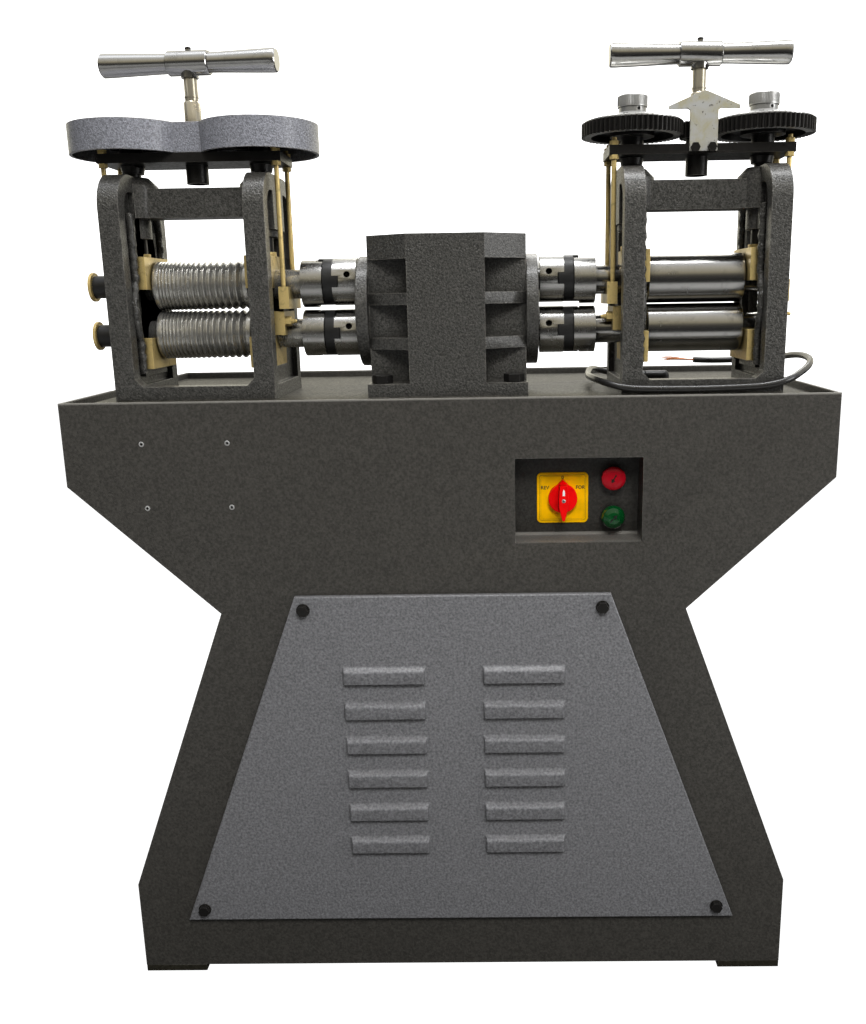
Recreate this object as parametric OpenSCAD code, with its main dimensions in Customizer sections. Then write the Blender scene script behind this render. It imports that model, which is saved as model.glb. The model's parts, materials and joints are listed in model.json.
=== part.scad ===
// Double-headed power rolling mill on a sheet-steel stand.
// X runs to the right, Y away from the front, Z up. The origin is on the floor, midway between the feet.

/* [Cabinet] */
// Width of the cabinet at the tray
cab_w = 945; // [920:5:1100]
// Depth of the cabinet, front to back
cab_d = 500; // [480:5:640]
// Height of the tray rim above the floor
rim_z = 790; // [760:5:860]
// Height of the upright band below the rim
band_h = 103; // [85:1:130]
// Width of the cabinet at its waist
waist_w = 589; // [520:1:640]
// Height of the waist
waist_z = 521; // [480:1:550]
// Width of the cabinet at its foot
foot_w = 876; // [820:2:920]
// Height at which the splayed legs turn upright
knee_z = 135; // [125:1:180]
// Thickness of the cabinet sheet
sheet_t = 3; // [2:0.5:4]
// Depth of the tray below its rim
tray_depth = 10; // [8:1:20]
// Thickness of the tray floor
tray_t = 4; // [3:0.5:6]
// Thickness of the bed plate that the castings stand on
bed_t = 10; // [8:1:14]
// Free width left at each end of the bed plate
bed_end_gap = 39.5; // [30:0.5:45]
// Depth of the bed plate
bed_d = 188; // [184:1:200]

/* [Feet] */
// Width of a foot plate
foot_plate_w = 84; // [60:1:100]
// Depth of a foot plate
foot_plate_d = 70; // [60:1:100]
// Thickness of a foot plate
foot_plate_t = 10; // [6:1:14]
// Diameter of a floor-bolt hole
foot_hole_d = 13; // [10:0.5:16]

/* [Front cover] */
// Width of the cover at its top edge
cover_top_w = 398; // [380:2:410]
// Width of the cover at its bottom edge
cover_foot_w = 740; // [700:2:760]
// Height of the cover's bottom edge above the floor
cover_low_z = 85; // [75:1:95]
// Height of the cover's top edge above the floor
cover_high_z = 544; // [535:1:560]
// How far the cover stands proud of the cabinet
cover_proud = 8; // [6:0.5:12]
// Thickness of the cover sheet
cover_t = 2; // [1.5:0.5:3]
// Width of the margin between the cover's edge and the opening behind it
cover_margin = 30; // [26:1:40]
// Inset of a cover bolt from the cover's edges
cover_bolt_inset = 17; // [14:0.5:20]
// Louvres in a column
louvre_rows = 6; // [3:1:6]
// Length of a louvre
louvre_l = 105; // [80:1:120]
// Height of a louvre
louvre_h = 21; // [14:1:24]
// How far a louvre bulges from the cover
louvre_out = 7; // [4:0.5:9]
// Height of the top louvre above the floor
louvre_top_z = 439; // [430:1:460]
// Step between louvres
louvre_step = 47.9; // [40:0.1:50]
// Distance of a louvre column from the middle
louvre_x = 89.5; // [75:0.5:95]

/* [Controls] */
// Width of the control recess
recess_w = 157; // [150:1:170]
// Height of the control recess
recess_h = 106; // [96:1:110]
// Depth of the control recess
recess_d = 40; // [34:1:50]
// Distance of the recess from the middle of the cabinet
recess_x = 158.5; // [150:0.5:170]
// Height of the middle of the recess
recess_z = 662; // [655:1:668]
// Thickness of the recess sheet
recess_t = 2; // [1.5:0.5:3]
// Side of the square switch plate
plate_w = 65; // [55:1:70]
// Thickness of the switch plate
plate_t = 2; // [1.5:0.5:3]
// Distance of the switch from the middle of the recess
switch_dx = -17.5; // [-22:0.5:-12]
// Height of the switch above the middle of the recess
switch_dz = -4; // [-8:1:4]
// Diameter of the switch knob
knob_d = 36.5; // [30:0.5:40]
// How far the switch knob stands out from its plate
knob_out = 22; // [18:1:26]
// Distance of the buttons from the middle of the recess
button_dx = 46; // [44:0.5:50]
// Height of the red button above the middle of the recess
red_dz = 21.5; // [18:0.5:24]
// Height of the green button above the middle of the recess
green_dz = -28.5; // [-32:0.5:-26]
// Diameter of a button
button_d = 30; // [24:0.5:32]
// Travel of a button
button_travel = 4; // [3:0.5:5]
// Width of the nameplate place, between its rivet holes
name_w = 105; // [80:1:120]
// Height of the nameplate place, between its rivet holes
name_h = 80; // [60:1:90]
// Distance of the nameplate place from the middle of the cabinet
name_x = -323; // [-340:1:-300]
// Height of the middle of the nameplate place
name_z = 699; // [690:1:710]
// Diameter of a nameplate rivet hole
name_hole_d = 3.2; // [2.5:0.1:5]

/* [Rolls] */
// Distance of each mill head from the middle of the cabinet
head_x = 309; // [300:1:325]
// Distance of the roll axes behind the cabinet's front
mill_set = 97; // [92:1:110]
// Diameter of the rolls
roll_d = 60; // [54:1:62]
// Length of the roll barrels
roll_l = 120; // [110:1:122]
// Gap between the rolls when screwed right down
roll_gap = 1; // [0.5:0.5:2]
// Height of the pass line above the bed plate
pass_h = 107; // [104:1:112]
// Diameter of the roll necks
neck_d = 36; // [30:1:38]
// Grooves in each roll of the wire head
groove_count = 17; // [8:1:20]
// Width of the finest wire groove
groove_min = 2.2; // [1.5:0.1:3]
// Width added from one groove to the next
groove_grow = 0.36; // [0:0.02:0.4]
// Land left between grooves
groove_land = 1.3; // [1:0.1:1.6]

/* [Housings] */
// Height of a housing
house_h = 268; // [262:1:285]
// Depth of a housing
house_d = 162; // [156:1:176]
// Clear width between the two standards of a housing
house_in = 146; // [144:1:152]
// Thickness of a standard, across its flanges
std_t = 25; // [23:1:30]
// Radius of the rounded shoulders
shoulder_r = 42; // [30:1:50]
// Depth of the flanges, front to back
flange_d = 20; // [16:1:24]
// Depth of the recess on each face of a standard
web_cut = 7; // [5:0.5:8]
// Width of the bearing window
window_w = 60; // [54:1:64]
// Width of the raised rim round the window
rim_w = 10; // [8:1:12]
// Height of the window's sill above the bed plate
sill_h = 37; // [34:1:40]
// Height of the window's head above the bed plate
lintel_h = 195; // [192:1:200]
// Height of the front rail
rail_h = 17; // [12:1:22]
// Height of the tie bar between the standards
tie_h = 35; // [30:1:40]
// Depth of the tie bar
tie_d = 36; // [30:1:44]
// Depth of the tie bar's top below the housing's top
tie_drop = 14; // [10:1:18]
// Diameter of the screw bosses
boss_d = 56; // [50:1:58]

/* [Screwdown] */
// Distance between the two pressure screws of a head is set by their gears: module of the gears
gear_m = 2; // [1.9:0.05:2.1]
// Teeth on a screw gear
gear_z = 60; // [58:2:62]
// Teeth on the centre pinion
pinion_z = 20; // [18:2:22]
// Thickness of a screw gear
gear_t = 16; // [12:1:17]
// Diameter of a pressure screw
screw_d = 18; // [16:1:20]
// Lead of a pressure screw
screw_lead = 2.5; // [1.5:0.5:3]
// How far the upper roll can be lifted
lift = 6; // [4:0.5:6]
// Gap between the housing's top and the screw collar when screwed right down
collar_gap = 4.6; // [3:0.2:8]
// Thickness of the screw collar
collar_t = 9.2; // [7:0.1:12]
// Length of the crosshead bar
bar_l = 223; // [222:1:240]
// Depth of the crosshead bar
bar_d = 70; // [68:1:76]
// Thickness of the crosshead bar
bar_t = 11; // [9:1:14]
// Gap between the bar and the gears
gear_lift = 13; // [12:0.5:16]
// Distance of the lifting rods from the middle of the head
rod_x = 105; // [104:0.5:108]
// Distance of the lifting rods from the roll axis plane
rod_y = 30.5; // [28:0.5:31]
// Diameter of a lifting rod
rod_d = 6; // [5:0.5:7]
// Radius of the gear cover round each gear
cover_r = 72; // [71:1:78]
// Height of the gear cover
cover_h = 35; // [34:1:40]
// Wall of the gear cover
cover_wall = 4; // [3:0.5:5]

/* [Hand tees] */
// Height of the tee bar above the crosshead bar
tee_h = 106.5; // [100:0.5:120]
// Length of the tee bar
tee_l = 218; // [180:1:240]
// Diameter of the tee bar at its ends
tee_end_d = 27.5; // [24:0.5:30]
// Diameter of the tee bar next to its hub
tee_mid_d = 23; // [20:0.5:24]
// Length of the tee hub
tee_hub_l = 51; // [40:1:60]
// Diameter of the tee hub
tee_hub_d = 28.5; // [26:0.5:32]
// Diameter of the lower stem
stem_d = 20; // [18:1:22]
// Diameter of the upper stem
stem_top_d = 16; // [13:1:17]
// Angle of the left tee bar to the front
left_tee_turn = -4; // [-30:1:30]

/* [Gearbox] */
// Width of the gearbox
box_w = 193; // [190:1:200]
// Depth of the gearbox
box_d = 168; // [164:1:176]
// Height of the gearbox
box_h = 192; // [188:1:204]
// Width of the gearbox's front and back faces
box_face_w = 93; // [88:1:100]
// Depth of the gearbox's side faces
box_side_d = 100; // [96:1:110]
// Thickness of the gearbox's base flange
box_base_t = 16.5; // [14:0.5:20]
// Thickness of the gearbox's top
box_cap_t = 28.5; // [24:0.5:32]
// Module of the timing gears
timing_m = 3; // [2.9:0.05:3.1]
// Teeth on each timing gear
timing_z = 21; // [20:1:22]
// Diameter of the gearbox side covers
side_cover_d = 136; // [132:1:140]
// Thickness of the gearbox side covers
side_cover_t = 15; // [12:1:16]
// Diameter of the coupling hubs
hub_d = 58; // [52:1:60]
// Diameter of the drive shafts
shaft_d = 28; // [24:1:30]
// Ratio of the worm gear
worm_ratio = 36; // [30:1:40]

/* [Drive] */
// Height of the motor plate's top above the floor
shelf_z = 120; // [112:1:122]
// Height of the motor shaft above its plate
motor_h = 100; // [95:1:110]
// Diameter of the motor body
motor_d = 164; // [150:1:170]
// Length of the motor body
motor_l = 225; // [200:1:235]
// Outside diameter of each pulley
pulley_d = 76; // [70:1:80]
// Depth of a belt
belt_h = 7; // [6:0.5:8]
// Width of a belt
belt_w = 10; // [9:0.5:12]
// Distance of the drive from the middle of the cabinet
drive_x = -25; // [-27:1:-23]

/* [Mains lead] */
// Diameter of the mains lead
cable_d = 8.5; // [7:0.5:9]

/* [Hidden] */
$fn = 64;
running = 0.06;
slack = 0.3;
front_y = -cab_d / 2;
mill_y = front_y + mill_set;
tray_z = rim_z - tray_depth;
bed_z = tray_z + bed_t;
band_z = rim_z - band_h;

roll_drop = (roll_d + roll_gap) / 2;
pass_z = bed_z + pass_h;
low_z = pass_z - roll_drop;
up_z = pass_z + roll_drop;
neck_r = neck_d / 2;

std_in = house_in / 2;
std_out = std_in + std_t;
house_z = bed_z + house_h;
sill_z = bed_z + sill_h;
lintel_z = bed_z + lintel_h;
tie_top = house_z - tie_drop;
ear_slope = 10;

gear_c = gear_m * (gear_z + pinion_z) / 2;
screw_r = screw_d / 2;
collar_r = screw_r + 5.5;
collar_z = house_z + collar_gap;
bar_z = collar_z + collar_t;
bar_top = bar_z + bar_t;
gear_low = bar_top + gear_lift;
gear_top = gear_low + gear_t;
gear_hub_r = screw_r + 5;
bush_flange_t = 12;
bush_flange_w = 87;
bush_in = std_in - bush_flange_t;
bush_below = 4.5;
bush_above = 34.5;
bush_split = 2.5;
bush_up_low = up_z - bush_below;
bush_up_top = up_z + bush_above;
bush_low_top = low_z - bush_split;
pad_t = 5;
pad_top = bush_up_top + pad_t;
pad_r = 12;
boss_below_r = 13.5;
boss_below_h = 22;
nut_af = 10;
nut_t = 5;
yoke_in = std_out + 1.5;
yoke_t = 12.5;
yoke_low = pass_z + slack;
yoke_top = up_z - 3.5;
yoke_half = rod_y + 6.5;
keeper_in = std_out - web_cut;
keeper_t = 13;
keeper_top = pass_z - 2.5;
keeper_low = low_z - 1.5;
keeper_half = window_w / 2 + 2;
nipple_r = 5.5;
nipple_l = 8;
turns = lift / screw_lead * gear_z / pinion_z;

dial_rise = 12;
dial_neck_h = 6;
dial_grip_h = 13.5;
dial_neck_r = screw_r + 7.5;
dial_grip_r = screw_r + 9;
dial_base_z = gear_top + slack;

tee_z = bar_top + tee_h;
stem_step_z = bar_top + 61;
cover_waist = 33;
cover_post_r = 5;

timing_c = timing_m * timing_z;
shaft_up_z = low_z + timing_c;
shaft_r = shaft_d / 2;
box_z = bed_z + box_h;
box_base_z = bed_z + box_base_t;
box_cap_z = box_z - box_cap_t;
rib_t = 14;
rib_1_z = bed_z + 57;
rib_2_z = bed_z + 110;
box_wall = 12;
side_cover_z = (low_z + shaft_up_z) / 2 - 6;
side_cover_x = box_w / 2 + side_cover_t;
hub_r = hub_d / 2;
hub_start = side_cover_x + 3;
disc_t = 12;
disc_gap = 0.8;
tongue_w = 14;
tongue_l = 7.2;
slot_l = 8.2;
neck_gap = 12.7;
roll_hub_l = 27;
roll_hub_end = head_x - yoke_in - yoke_t - neck_gap;
roll_hub_start = roll_hub_end - roll_hub_l;
disc_start = roll_hub_start - disc_gap - disc_t;
hub_l = disc_start - hub_start;
// The shafts' offset at both ends of the lift, which sets the width of the roll hubs' slots
shaft_offset = max(abs(shaft_up_z - up_z), abs(shaft_up_z - up_z - lift));
slot_w = tongue_w + 2 * (shaft_offset + 0.75);
roll_hub_bore = 18;
journal_r = shaft_r;
wheel_r = worm_ratio;
worm_r = 10;
worm_z = low_z - wheel_r - worm_r;
worm_shaft_r = 8;

pulley_r = pulley_d / 2;
pulley_w = 36;
pulley_y = mill_y + box_d / 2 + 11;
belt_pitch = 16;
belt_r = pulley_r + 0.5;
motor_z = shelf_z + motor_h;
motor_r = motor_d / 2;
motor_y = pulley_y + pulley_w + 12;
motor_hole_x = 70;
motor_hole_y = [60, 170];
motor_hole_r = 5;
motor_shaft_r = 12;
motor_shaft_in = 30;
motor_foot_t = 14;
motor_foot_half = 18;
motor_foot_over = 15;
plate_front = motor_y - 50;
shelf_t = 8;
plate_fold = 60;
plate_fold_t = 6;

cover_front_y = front_y - cover_proud;
bolt_head_t = 5.5;
bolt_af = 13;
bolt_r = 4;
bolt_behind = 14;
washer_r = 8.5;
washer_t = 1.5;
hold_r = 7;
hold_af = 22;
hold_head_t = 9;
hold_deep = 18;
hold_x = std_in + std_t / 2;
hold_y = house_d / 2 - flange_d / 2;
box_hold_x = box_w / 2 - 16;
box_hold_y = box_d / 2 - 14;

switch_x = recess_x + switch_dx;
switch_z = recess_z + switch_dz;
button_x = recess_x + button_dx;
red_z = recess_z + red_dz;
green_z = recess_z + green_dz;
recess_back = front_y + recess_d;
bezel_t = 3;
button_stem_r = 6;
neck_hole_r = 11;
switch_block = [24, 52, 24];
button_block = [14, 44, 15];
button_gap = button_travel + 0.5;

sleeve_r = 14;
sleeve_end_r = 18;
sleeve_start = yoke_in + yoke_t + 1;
sleeve_l = 28;
sleeve_end_t = 4;

bed_back = front_y + sheet_t + bed_d;
gland_x = head_x - 9;
gland_y = bed_back + 49;
gland_reach = 27;
gland_z = tray_z + 14.6;
cable_r = cable_d / 2;
// The mains lead leaves its gland behind the right head, runs round the head's base and ends behind it.
// Its points are measured from the middle of that head, on the bed plate.
lead_route = [
    [-36, 143, 4.6], [-59, 143, 5.4], [-76, 142.5, 7.6], [-91, 139, 11], [-103, 132, 14.4],
    [-112, 121, 16.8], [-117.5, 107, 17.8], [-121.5, 89, 17.4], [-124.5, 69, 16.2], [-127, 47, 15.2],
    [-129, 23, 15.4], [-130.2, -2, 16.3], [-129.6, -25, 16.8], [-127, -43, 16.3], [-122.5, -58, 15.2],
    [-116, -71, 13.4], [-108, -80.5, 11.4], [-98, -86.8, 9.2], [-86, -89, 7.7], [-71, -89, 7],
    [-54, -88.5, 6.5], [2, -88, 6.2], [60, -88, 7.9], [79, -88.6, 9.9], [94, -87.4, 13], [109, -80, 17.4],
    [122.5, -64, 21.8], [134, -48, 25.7], [143, -32, 29.5], [150, -13, 33], [153.5, 8, 35.5],
    [154, 29, 36.6], [152.6, 49, 36.5], [150.6, 69, 35.1], [148, 88, 33], [143, 108, 30.6],
    [134, 129, 28.2], [120, 149, 25.8], [102, 164, 24], [82, 172, 23], [61, 174.5, 23], [39, 173, 24]
];
cable_path = [for (p = lead_route) [head_x + p.x, mill_y + p.y, bed_z + p.z]];

// Colours, as painted, plated or machined
paint = [0.20, 0.19, 0.18];
casting = [0.28, 0.28, 0.27];
hammer = [0.42, 0.42, 0.44];
steel = [0.72, 0.72, 0.72];
black = [0.07, 0.07, 0.07];
brass = [0.72, 0.56, 0.28];
alloy = [0.78, 0.78, 0.78];

// A shape drawn in front view, X across and Z up, given a thickness away from the front
module front_plate(y, t) { translate([0, y + t, 0]) rotate([90, 0, 0]) linear_extrude(t) children(); }
// A shape drawn in side view, Y across and Z up, given a thickness to the right
module side_plate(x, t) { translate([x, 0, 0]) rotate([90, 0, 90]) linear_extrude(t) children(); }
// A round bar along X
module bar_x(x, y, z, l, r) { translate([x, y, z]) rotate([0, 90, 0]) cylinder(h = l, r = r); }
// A round bar along Y
module bar_y(x, y, z, l, r) { translate([x, y + l, z]) rotate([90, 0, 0]) cylinder(h = l, r = r); }
// A hexagon across its flats, standing along Z
module hexagon(af, h) { cylinder(h = h, r = af / sqrt(3), $fn = 6); }
// A box from one corner to the other
module box(a, b) { translate(a) cube(b - a); }
module at_head(side) { translate([side * head_x, mill_y, 0]) children(); }

// Half outline of the cabinet, drawn in from its surface by t
function cabinet_side(t) = [
    [cab_w / 2 - t, rim_z], [cab_w / 2 - t, band_z], [waist_w / 2 - t, waist_z],
    [foot_w / 2 - t, knee_z], [foot_w / 2 - t, foot_plate_t]
];
function mirrored(points) = concat(points, [for (i = [len(points) - 1:-1:0]) [-points[i].x, points[i].y]]);
// Width of the cover at a height, and the cover's outline drawn in by m
function cover_half(z) = cover_foot_w / 2
    + (cover_top_w - cover_foot_w) / 2 * (z - cover_low_z) / (cover_high_z - cover_low_z);
function cover_outline(m) = mirrored([
    [cover_half(cover_high_z - m) - m, cover_high_z - m], [cover_half(cover_low_z + m) - m, cover_low_z + m]
]);

// Left and right walls, each folded from one strip
module cabinet_sides() {
    color(paint) front_plate(front_y + sheet_t, cab_d - 2 * sheet_t) difference() {
        polygon(mirrored(cabinet_side(0)));
        polygon(mirrored(cabinet_side(sheet_t)));
        translate([-cab_w / 2 + sheet_t, rim_z - 1]) square([cab_w - 2 * sheet_t, 2]);
        translate([-foot_w / 2 + sheet_t, foot_plate_t - 1]) square([foot_w - 2 * sheet_t, 2]);
    }
}
module cabinet_front() {
    color(paint) difference() {
        front_plate(front_y, sheet_t) polygon(mirrored(cabinet_side(0)));
        front_plate(front_y - 1, sheet_t + 2) polygon(cover_outline(cover_margin));
        box([recess_x - recess_w / 2, front_y - 1, recess_z - recess_h / 2],
            [recess_x + recess_w / 2, front_y + sheet_t + 1, recess_z + recess_h / 2]);
        for (x = [-1, 1], z = [-1, 1])
            bar_y(name_x + x * name_w / 2, front_y - 1, name_z + z * name_h / 2, sheet_t + 2, name_hole_d / 2);
        for (p = cover_bolt_places()) bar_y(p.x, front_y - 1, p.y, sheet_t + 2, bolt_r);
    }
}
module cabinet_back() {
    color(paint) front_plate(-front_y - sheet_t, sheet_t) polygon(mirrored(cabinet_side(0)));
}
function cover_bolt_places() = [
    for (s = [-1, 1], z = [cover_low_z + cover_bolt_inset, cover_high_z - cover_bolt_inset])
        [s * (cover_half(z) - cover_bolt_inset), z]
];

module foot_plates() {
    for (x = [-1, 1], y = [-1, 1]) color(paint) difference() {
        translate([x * foot_mid_x(), y * foot_mid_y(), foot_plate_t / 2])
            cube([foot_plate_w, foot_plate_d, foot_plate_t], center = true);
        translate([x * foot_mid_x(), y * foot_mid_y(), -1])
            cylinder(h = foot_plate_t + 2, r = foot_hole_d / 2);
    }
}
function foot_mid_x() = (foot_w - foot_plate_w) / 2;
function foot_mid_y() = (cab_d - foot_plate_d) / 2;

module tray_floor() {
    in_x = cab_w / 2 - sheet_t;
    in_y = cab_d / 2 - sheet_t;
    color(paint) difference() {
        box([-in_x, -in_y, tray_z - tray_t], [in_x, in_y, tray_z]);
        hold_down_holes(tray_z - tray_t - 1, tray_t + 2);
        box([drive_x - belt_r - 6, pulley_y - 4, tray_z - tray_t - 1],
            [drive_x + belt_r + 6, pulley_y + pulley_w + 4, tray_z + 1]);
        translate([gland_x, gland_y, tray_z - tray_t - 1]) cylinder(h = tray_t + 2, r = 8);
    }
}
module hold_down_holes(z, h) {
    for (s = [-1, 1], x = [-1, 1], y = [-1, 1])
        at_head(s) translate([x * hold_x, y * hold_y, z]) cylinder(h = h, r = hold_r + 0.5);
    for (x = [-1, 1], y = [-1, 1])
        translate([x * box_hold_x, mill_y + y * box_hold_y, z]) cylinder(h = h, r = hold_r + 0.5);
}

module bed_plate() {
    in_x = cab_w / 2 - sheet_t - bed_end_gap;
    color(paint) difference() {
        box([-in_x, front_y + sheet_t, tray_z], [in_x, front_y + sheet_t + bed_d, bed_z]);
        hold_down_holes(tray_z - 1, bed_t + 2);
    }
}

// One louvre: a hood closed at its top and ends, open below
module louvre_hood(grow) {
    h = louvre_h / 2;
    polygon([
        [0.2, h - grow], [-louvre_out * 0.75 + grow, h * 0.55 - grow / 2],
        [-louvre_out + grow, -h - grow], [0.2, -h - grow]
    ]);
}
module front_cover() {
    color(hammer) difference() {
        union() {
            difference() {
                front_plate(cover_front_y, cover_proud) polygon(cover_outline(0));
                front_plate(cover_front_y + cover_t, cover_proud) polygon(cover_outline(cover_t * 1.2));
            }
            for (s = [-1, 1], i = [0:louvre_rows - 1])
                translate([0, cover_front_y, louvre_top_z - i * louvre_step])
                    side_plate(s * louvre_x - louvre_l / 2, louvre_l) louvre_hood(0);
            for (p = cover_bolt_places()) bar_y(p.x, cover_front_y + cover_t, p.y, cover_proud - cover_t, 8);
        }
        for (s = [-1, 1], i = [0:louvre_rows - 1])
            translate([0, cover_front_y, louvre_top_z - i * louvre_step])
                side_plate(s * louvre_x - louvre_l / 2 + cover_t, louvre_l - 2 * cover_t) union() {
                    louvre_hood(cover_t * 0.7);
                    translate([0, -louvre_h / 2 - 0.5]) square([cover_t + 1, louvre_h * 0.8]);
                }
        for (p = cover_bolt_places()) bar_y(p.x, cover_front_y - 1, p.y, cover_proud + 2, bolt_r);
    }
}
module cover_bolts() {
    for (p = cover_bolt_places()) color(black) translate([p.x, cover_front_y, p.y]) rotate([90, 0, 0]) union() {
        cylinder(h = washer_t, r = washer_r);
        translate([0, 0, washer_t]) hexagon(bolt_af, bolt_head_t);
        translate([0, 0, -cover_proud - bolt_behind])
            cylinder(h = cover_proud + bolt_behind + washer_t, r = bolt_r);
    }
}

module control_box() {
    a = [recess_x - recess_w / 2, recess_z - recess_h / 2];
    b = [recess_x + recess_w / 2, recess_z + recess_h / 2];
    t = recess_t;
    lip = 8;
    y0 = front_y + sheet_t;
    color(paint) difference() {
        union() {
            box([a.x - t, y0, a.y - t], [b.x + t, recess_back + t, b.y + t]);
            box([a.x - lip, y0, a.y - lip], [b.x + lip, y0 + t, b.y + lip]);
        }
        box([a.x, y0 - 1, a.y], [b.x, recess_back, b.y]);
        bar_y(switch_x, recess_back - 1, switch_z, t + 2, neck_hole_r);
        for (z = [red_z, green_z]) bar_y(button_x, recess_back - 1, z, t + 2, neck_hole_r);
    }
}
module rounded_square(w, r) {
    union() {
        square([w, w - 2 * r], center = true);
        square([w - 2 * r, w], center = true);
        for (x = [-1, 1], y = [-1, 1]) translate([x, y] * (w / 2 - r)) circle(r);
    }
}
module switch_plate() {
    color([0.93, 0.75, 0.05]) difference() {
        front_plate(recess_back - plate_t, plate_t)
            translate([switch_x, switch_z]) rounded_square(plate_w, 6);
        bar_y(switch_x, recess_back - plate_t - 1, switch_z, plate_t + 2, 4.2);
    }
}
// A contact block behind the recess, given by half its width, its depth and half its height
module contact_block(b) { box([-b.x, 0, -b.z], [b.x, b.y, b.z]); }
// Contact blocks behind the recess: the rotary switch and the two push buttons
module switch_bodies() {
    back = recess_back + recess_t;
    color(black) difference() {
        union() {
            bar_y(switch_x, recess_back, switch_z, recess_t, neck_hole_r - 0.1);
            translate([switch_x, back, switch_z]) contact_block(switch_block);
        }
        bar_y(switch_x, recess_back - 1, switch_z, 40, 4 + running);
    }
    for (z = [red_z, green_z]) color(black) difference() {
        union() {
            bar_y(button_x, recess_back - bezel_t, z, bezel_t, button_d / 2 - 0.5);
            bar_y(button_x, recess_back - 0.1, z, recess_t + 0.2, neck_hole_r - 0.1);
            translate([button_x, back, z]) contact_block(button_block);
        }
        bar_y(button_x, recess_back - bezel_t - 1, z, 26, button_stem_r + running);
    }
}
// Rotary knob: a round skirt with a pointed top and a tapered fin across it
module switch_knob() {
    y = recess_back - plate_t - slack;
    skirt = 7;
    r = knob_d / 2;
    color([0.86, 0.05, 0.05]) union() {
        bar_y(switch_x, y - skirt, switch_z, skirt, r);
        front_plate(y - skirt, skirt) translate([switch_x, switch_z])
            polygon([[-0.5 * r, 0.85 * r], [0.5 * r, 0.85 * r], [0, 1.32 * r]]);
        front_plate(y - knob_out, knob_out - skirt / 2) translate([switch_x, switch_z]) polygon([
            [-0.25 * r, 1.04 * r], [0.25 * r, 1.04 * r], [0.34 * r, 0.1 * r], [0.3 * r, -0.55 * r],
            [0.08 * r, -1.42 * r], [-0.08 * r, -1.42 * r], [-0.3 * r, -0.55 * r], [-0.34 * r, 0.1 * r]
        ]);
        bar_y(switch_x, y - 1, switch_z, 34, 4);
    }
}
module button_cap(z, dome) {
    y = recess_back - bezel_t - button_gap;
    r = button_d / 2;
    translate([button_x, y, z]) rotate([90, 0, 0]) union() {
        rotate_extrude() polygon([
            [0, 0], [r, 0], [r, 4], [r * 0.86, 4 + dome * 0.5], [r * 0.5, 4 + dome * 0.9], [0, 4 + dome]
        ]);
        translate([0, 0, -20]) cylinder(h = 20.5, r = button_stem_r);
    }
}
module red_button() { color([0.75, 0.08, 0.12]) button_cap(red_z, 3); }
module green_button() { color([0.02, 0.25, 0.10]) button_cap(green_z, 8); }

// Side view of a standard: straight sides and rounded shoulders, drawn in by m
module standard_outline(m) {
    r = shoulder_r - m;
    w = house_d / 2 - m;
    top = house_z - m;
    union() {
        translate([-w, bed_z]) square([2 * w, top - r - bed_z]);
        translate([-w + r, bed_z]) square([2 * (w - r), top - bed_z]);
        for (s = [-1, 1]) translate([s * (w - r), top - r]) circle(r);
    }
}
module window_shape(grow, bulge) {
    union() {
        translate([-window_w / 2 - grow, sill_z - grow])
            square([window_w + 2 * grow, lintel_z - sill_z + 2 * grow]);
        translate([0, pass_z]) circle(bulge);
    }
}
// Pocket in the face of a standard, between its flanges
module web_pocket() {
    intersection() {
        standard_outline(flange_d);
        translate([-house_d, bed_z + rail_h]) square([2 * house_d, house_h]);
    }
}
module standard() {
    bulge_r = roll_d / 2 + rim_w;
    difference() {
        union() {
            difference() {
                side_plate(std_in, std_t) standard_outline(0);
                side_plate(std_in - 1, web_cut + 1) difference() {
                    web_pocket();
                    window_shape(rim_w, bulge_r + rim_w);
                    translate([-boss_d / 2, lintel_z]) square([boss_d, house_h]);
                }
                side_plate(std_in - 1, web_cut + 1) translate([0, pass_z]) circle(bulge_r);
                side_plate(std_out - web_cut, web_cut + 1) difference() {
                    web_pocket();
                    translate([-boss_d / 2, lintel_z + 8]) square([boss_d, house_h]);
                }
            }
            translate([gear_c, 0, tie_top - tie_h])
                cylinder(h = house_z - tie_top + tie_h - ear_slope, r = boss_d / 2);
            translate([gear_c, 0, house_z - ear_slope])
                cylinder(h = ear_slope, r1 = boss_d / 2, r2 = boss_d / 2 - ear_slope);
            translate([gear_c, 0, lintel_z]) cylinder(h = house_z - lintel_z, r = screw_r + 7);
        }
        side_plate(std_in - boss_d, boss_d + 2 * std_t) window_shape(0, 1);
        box([std_out, -boss_d, bed_z], [std_out + boss_d, boss_d, house_z + 1]);
        translate([gear_c, 0, lintel_z - 1]) cylinder(h = house_h, r = screw_r + running);
        for (y = [-1, 1]) translate([hold_x, y * hold_y, bed_z - 1]) cylinder(h = hold_deep + 1, r = hold_r);
    }
}
module housing(side) {
    chamfer = 9;
    front = -house_d / 2;
    tie_reach = gear_c - boss_d * 0.34;
    at_head(side) color(casting) union() {
        standard();
        mirror([1, 0, 0]) standard();
        box([-tie_reach, -tie_d / 2, tie_top - tie_h], [tie_reach, tie_d / 2, tie_top]);
        front_plate(front, flange_d) difference() {
            translate([-std_in - 1, bed_z]) square([house_in + 2, rail_h + chamfer]);
            polygon([
                [-std_in + chamfer, bed_z + rail_h], [std_in - chamfer, bed_z + rail_h],
                [std_in, bed_z + rail_h + chamfer], [std_in, bed_z + 2 * house_in],
                [-std_in, bed_z + 2 * house_in], [-std_in, bed_z + rail_h + chamfer]
            ]);
        }
    }
}

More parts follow.
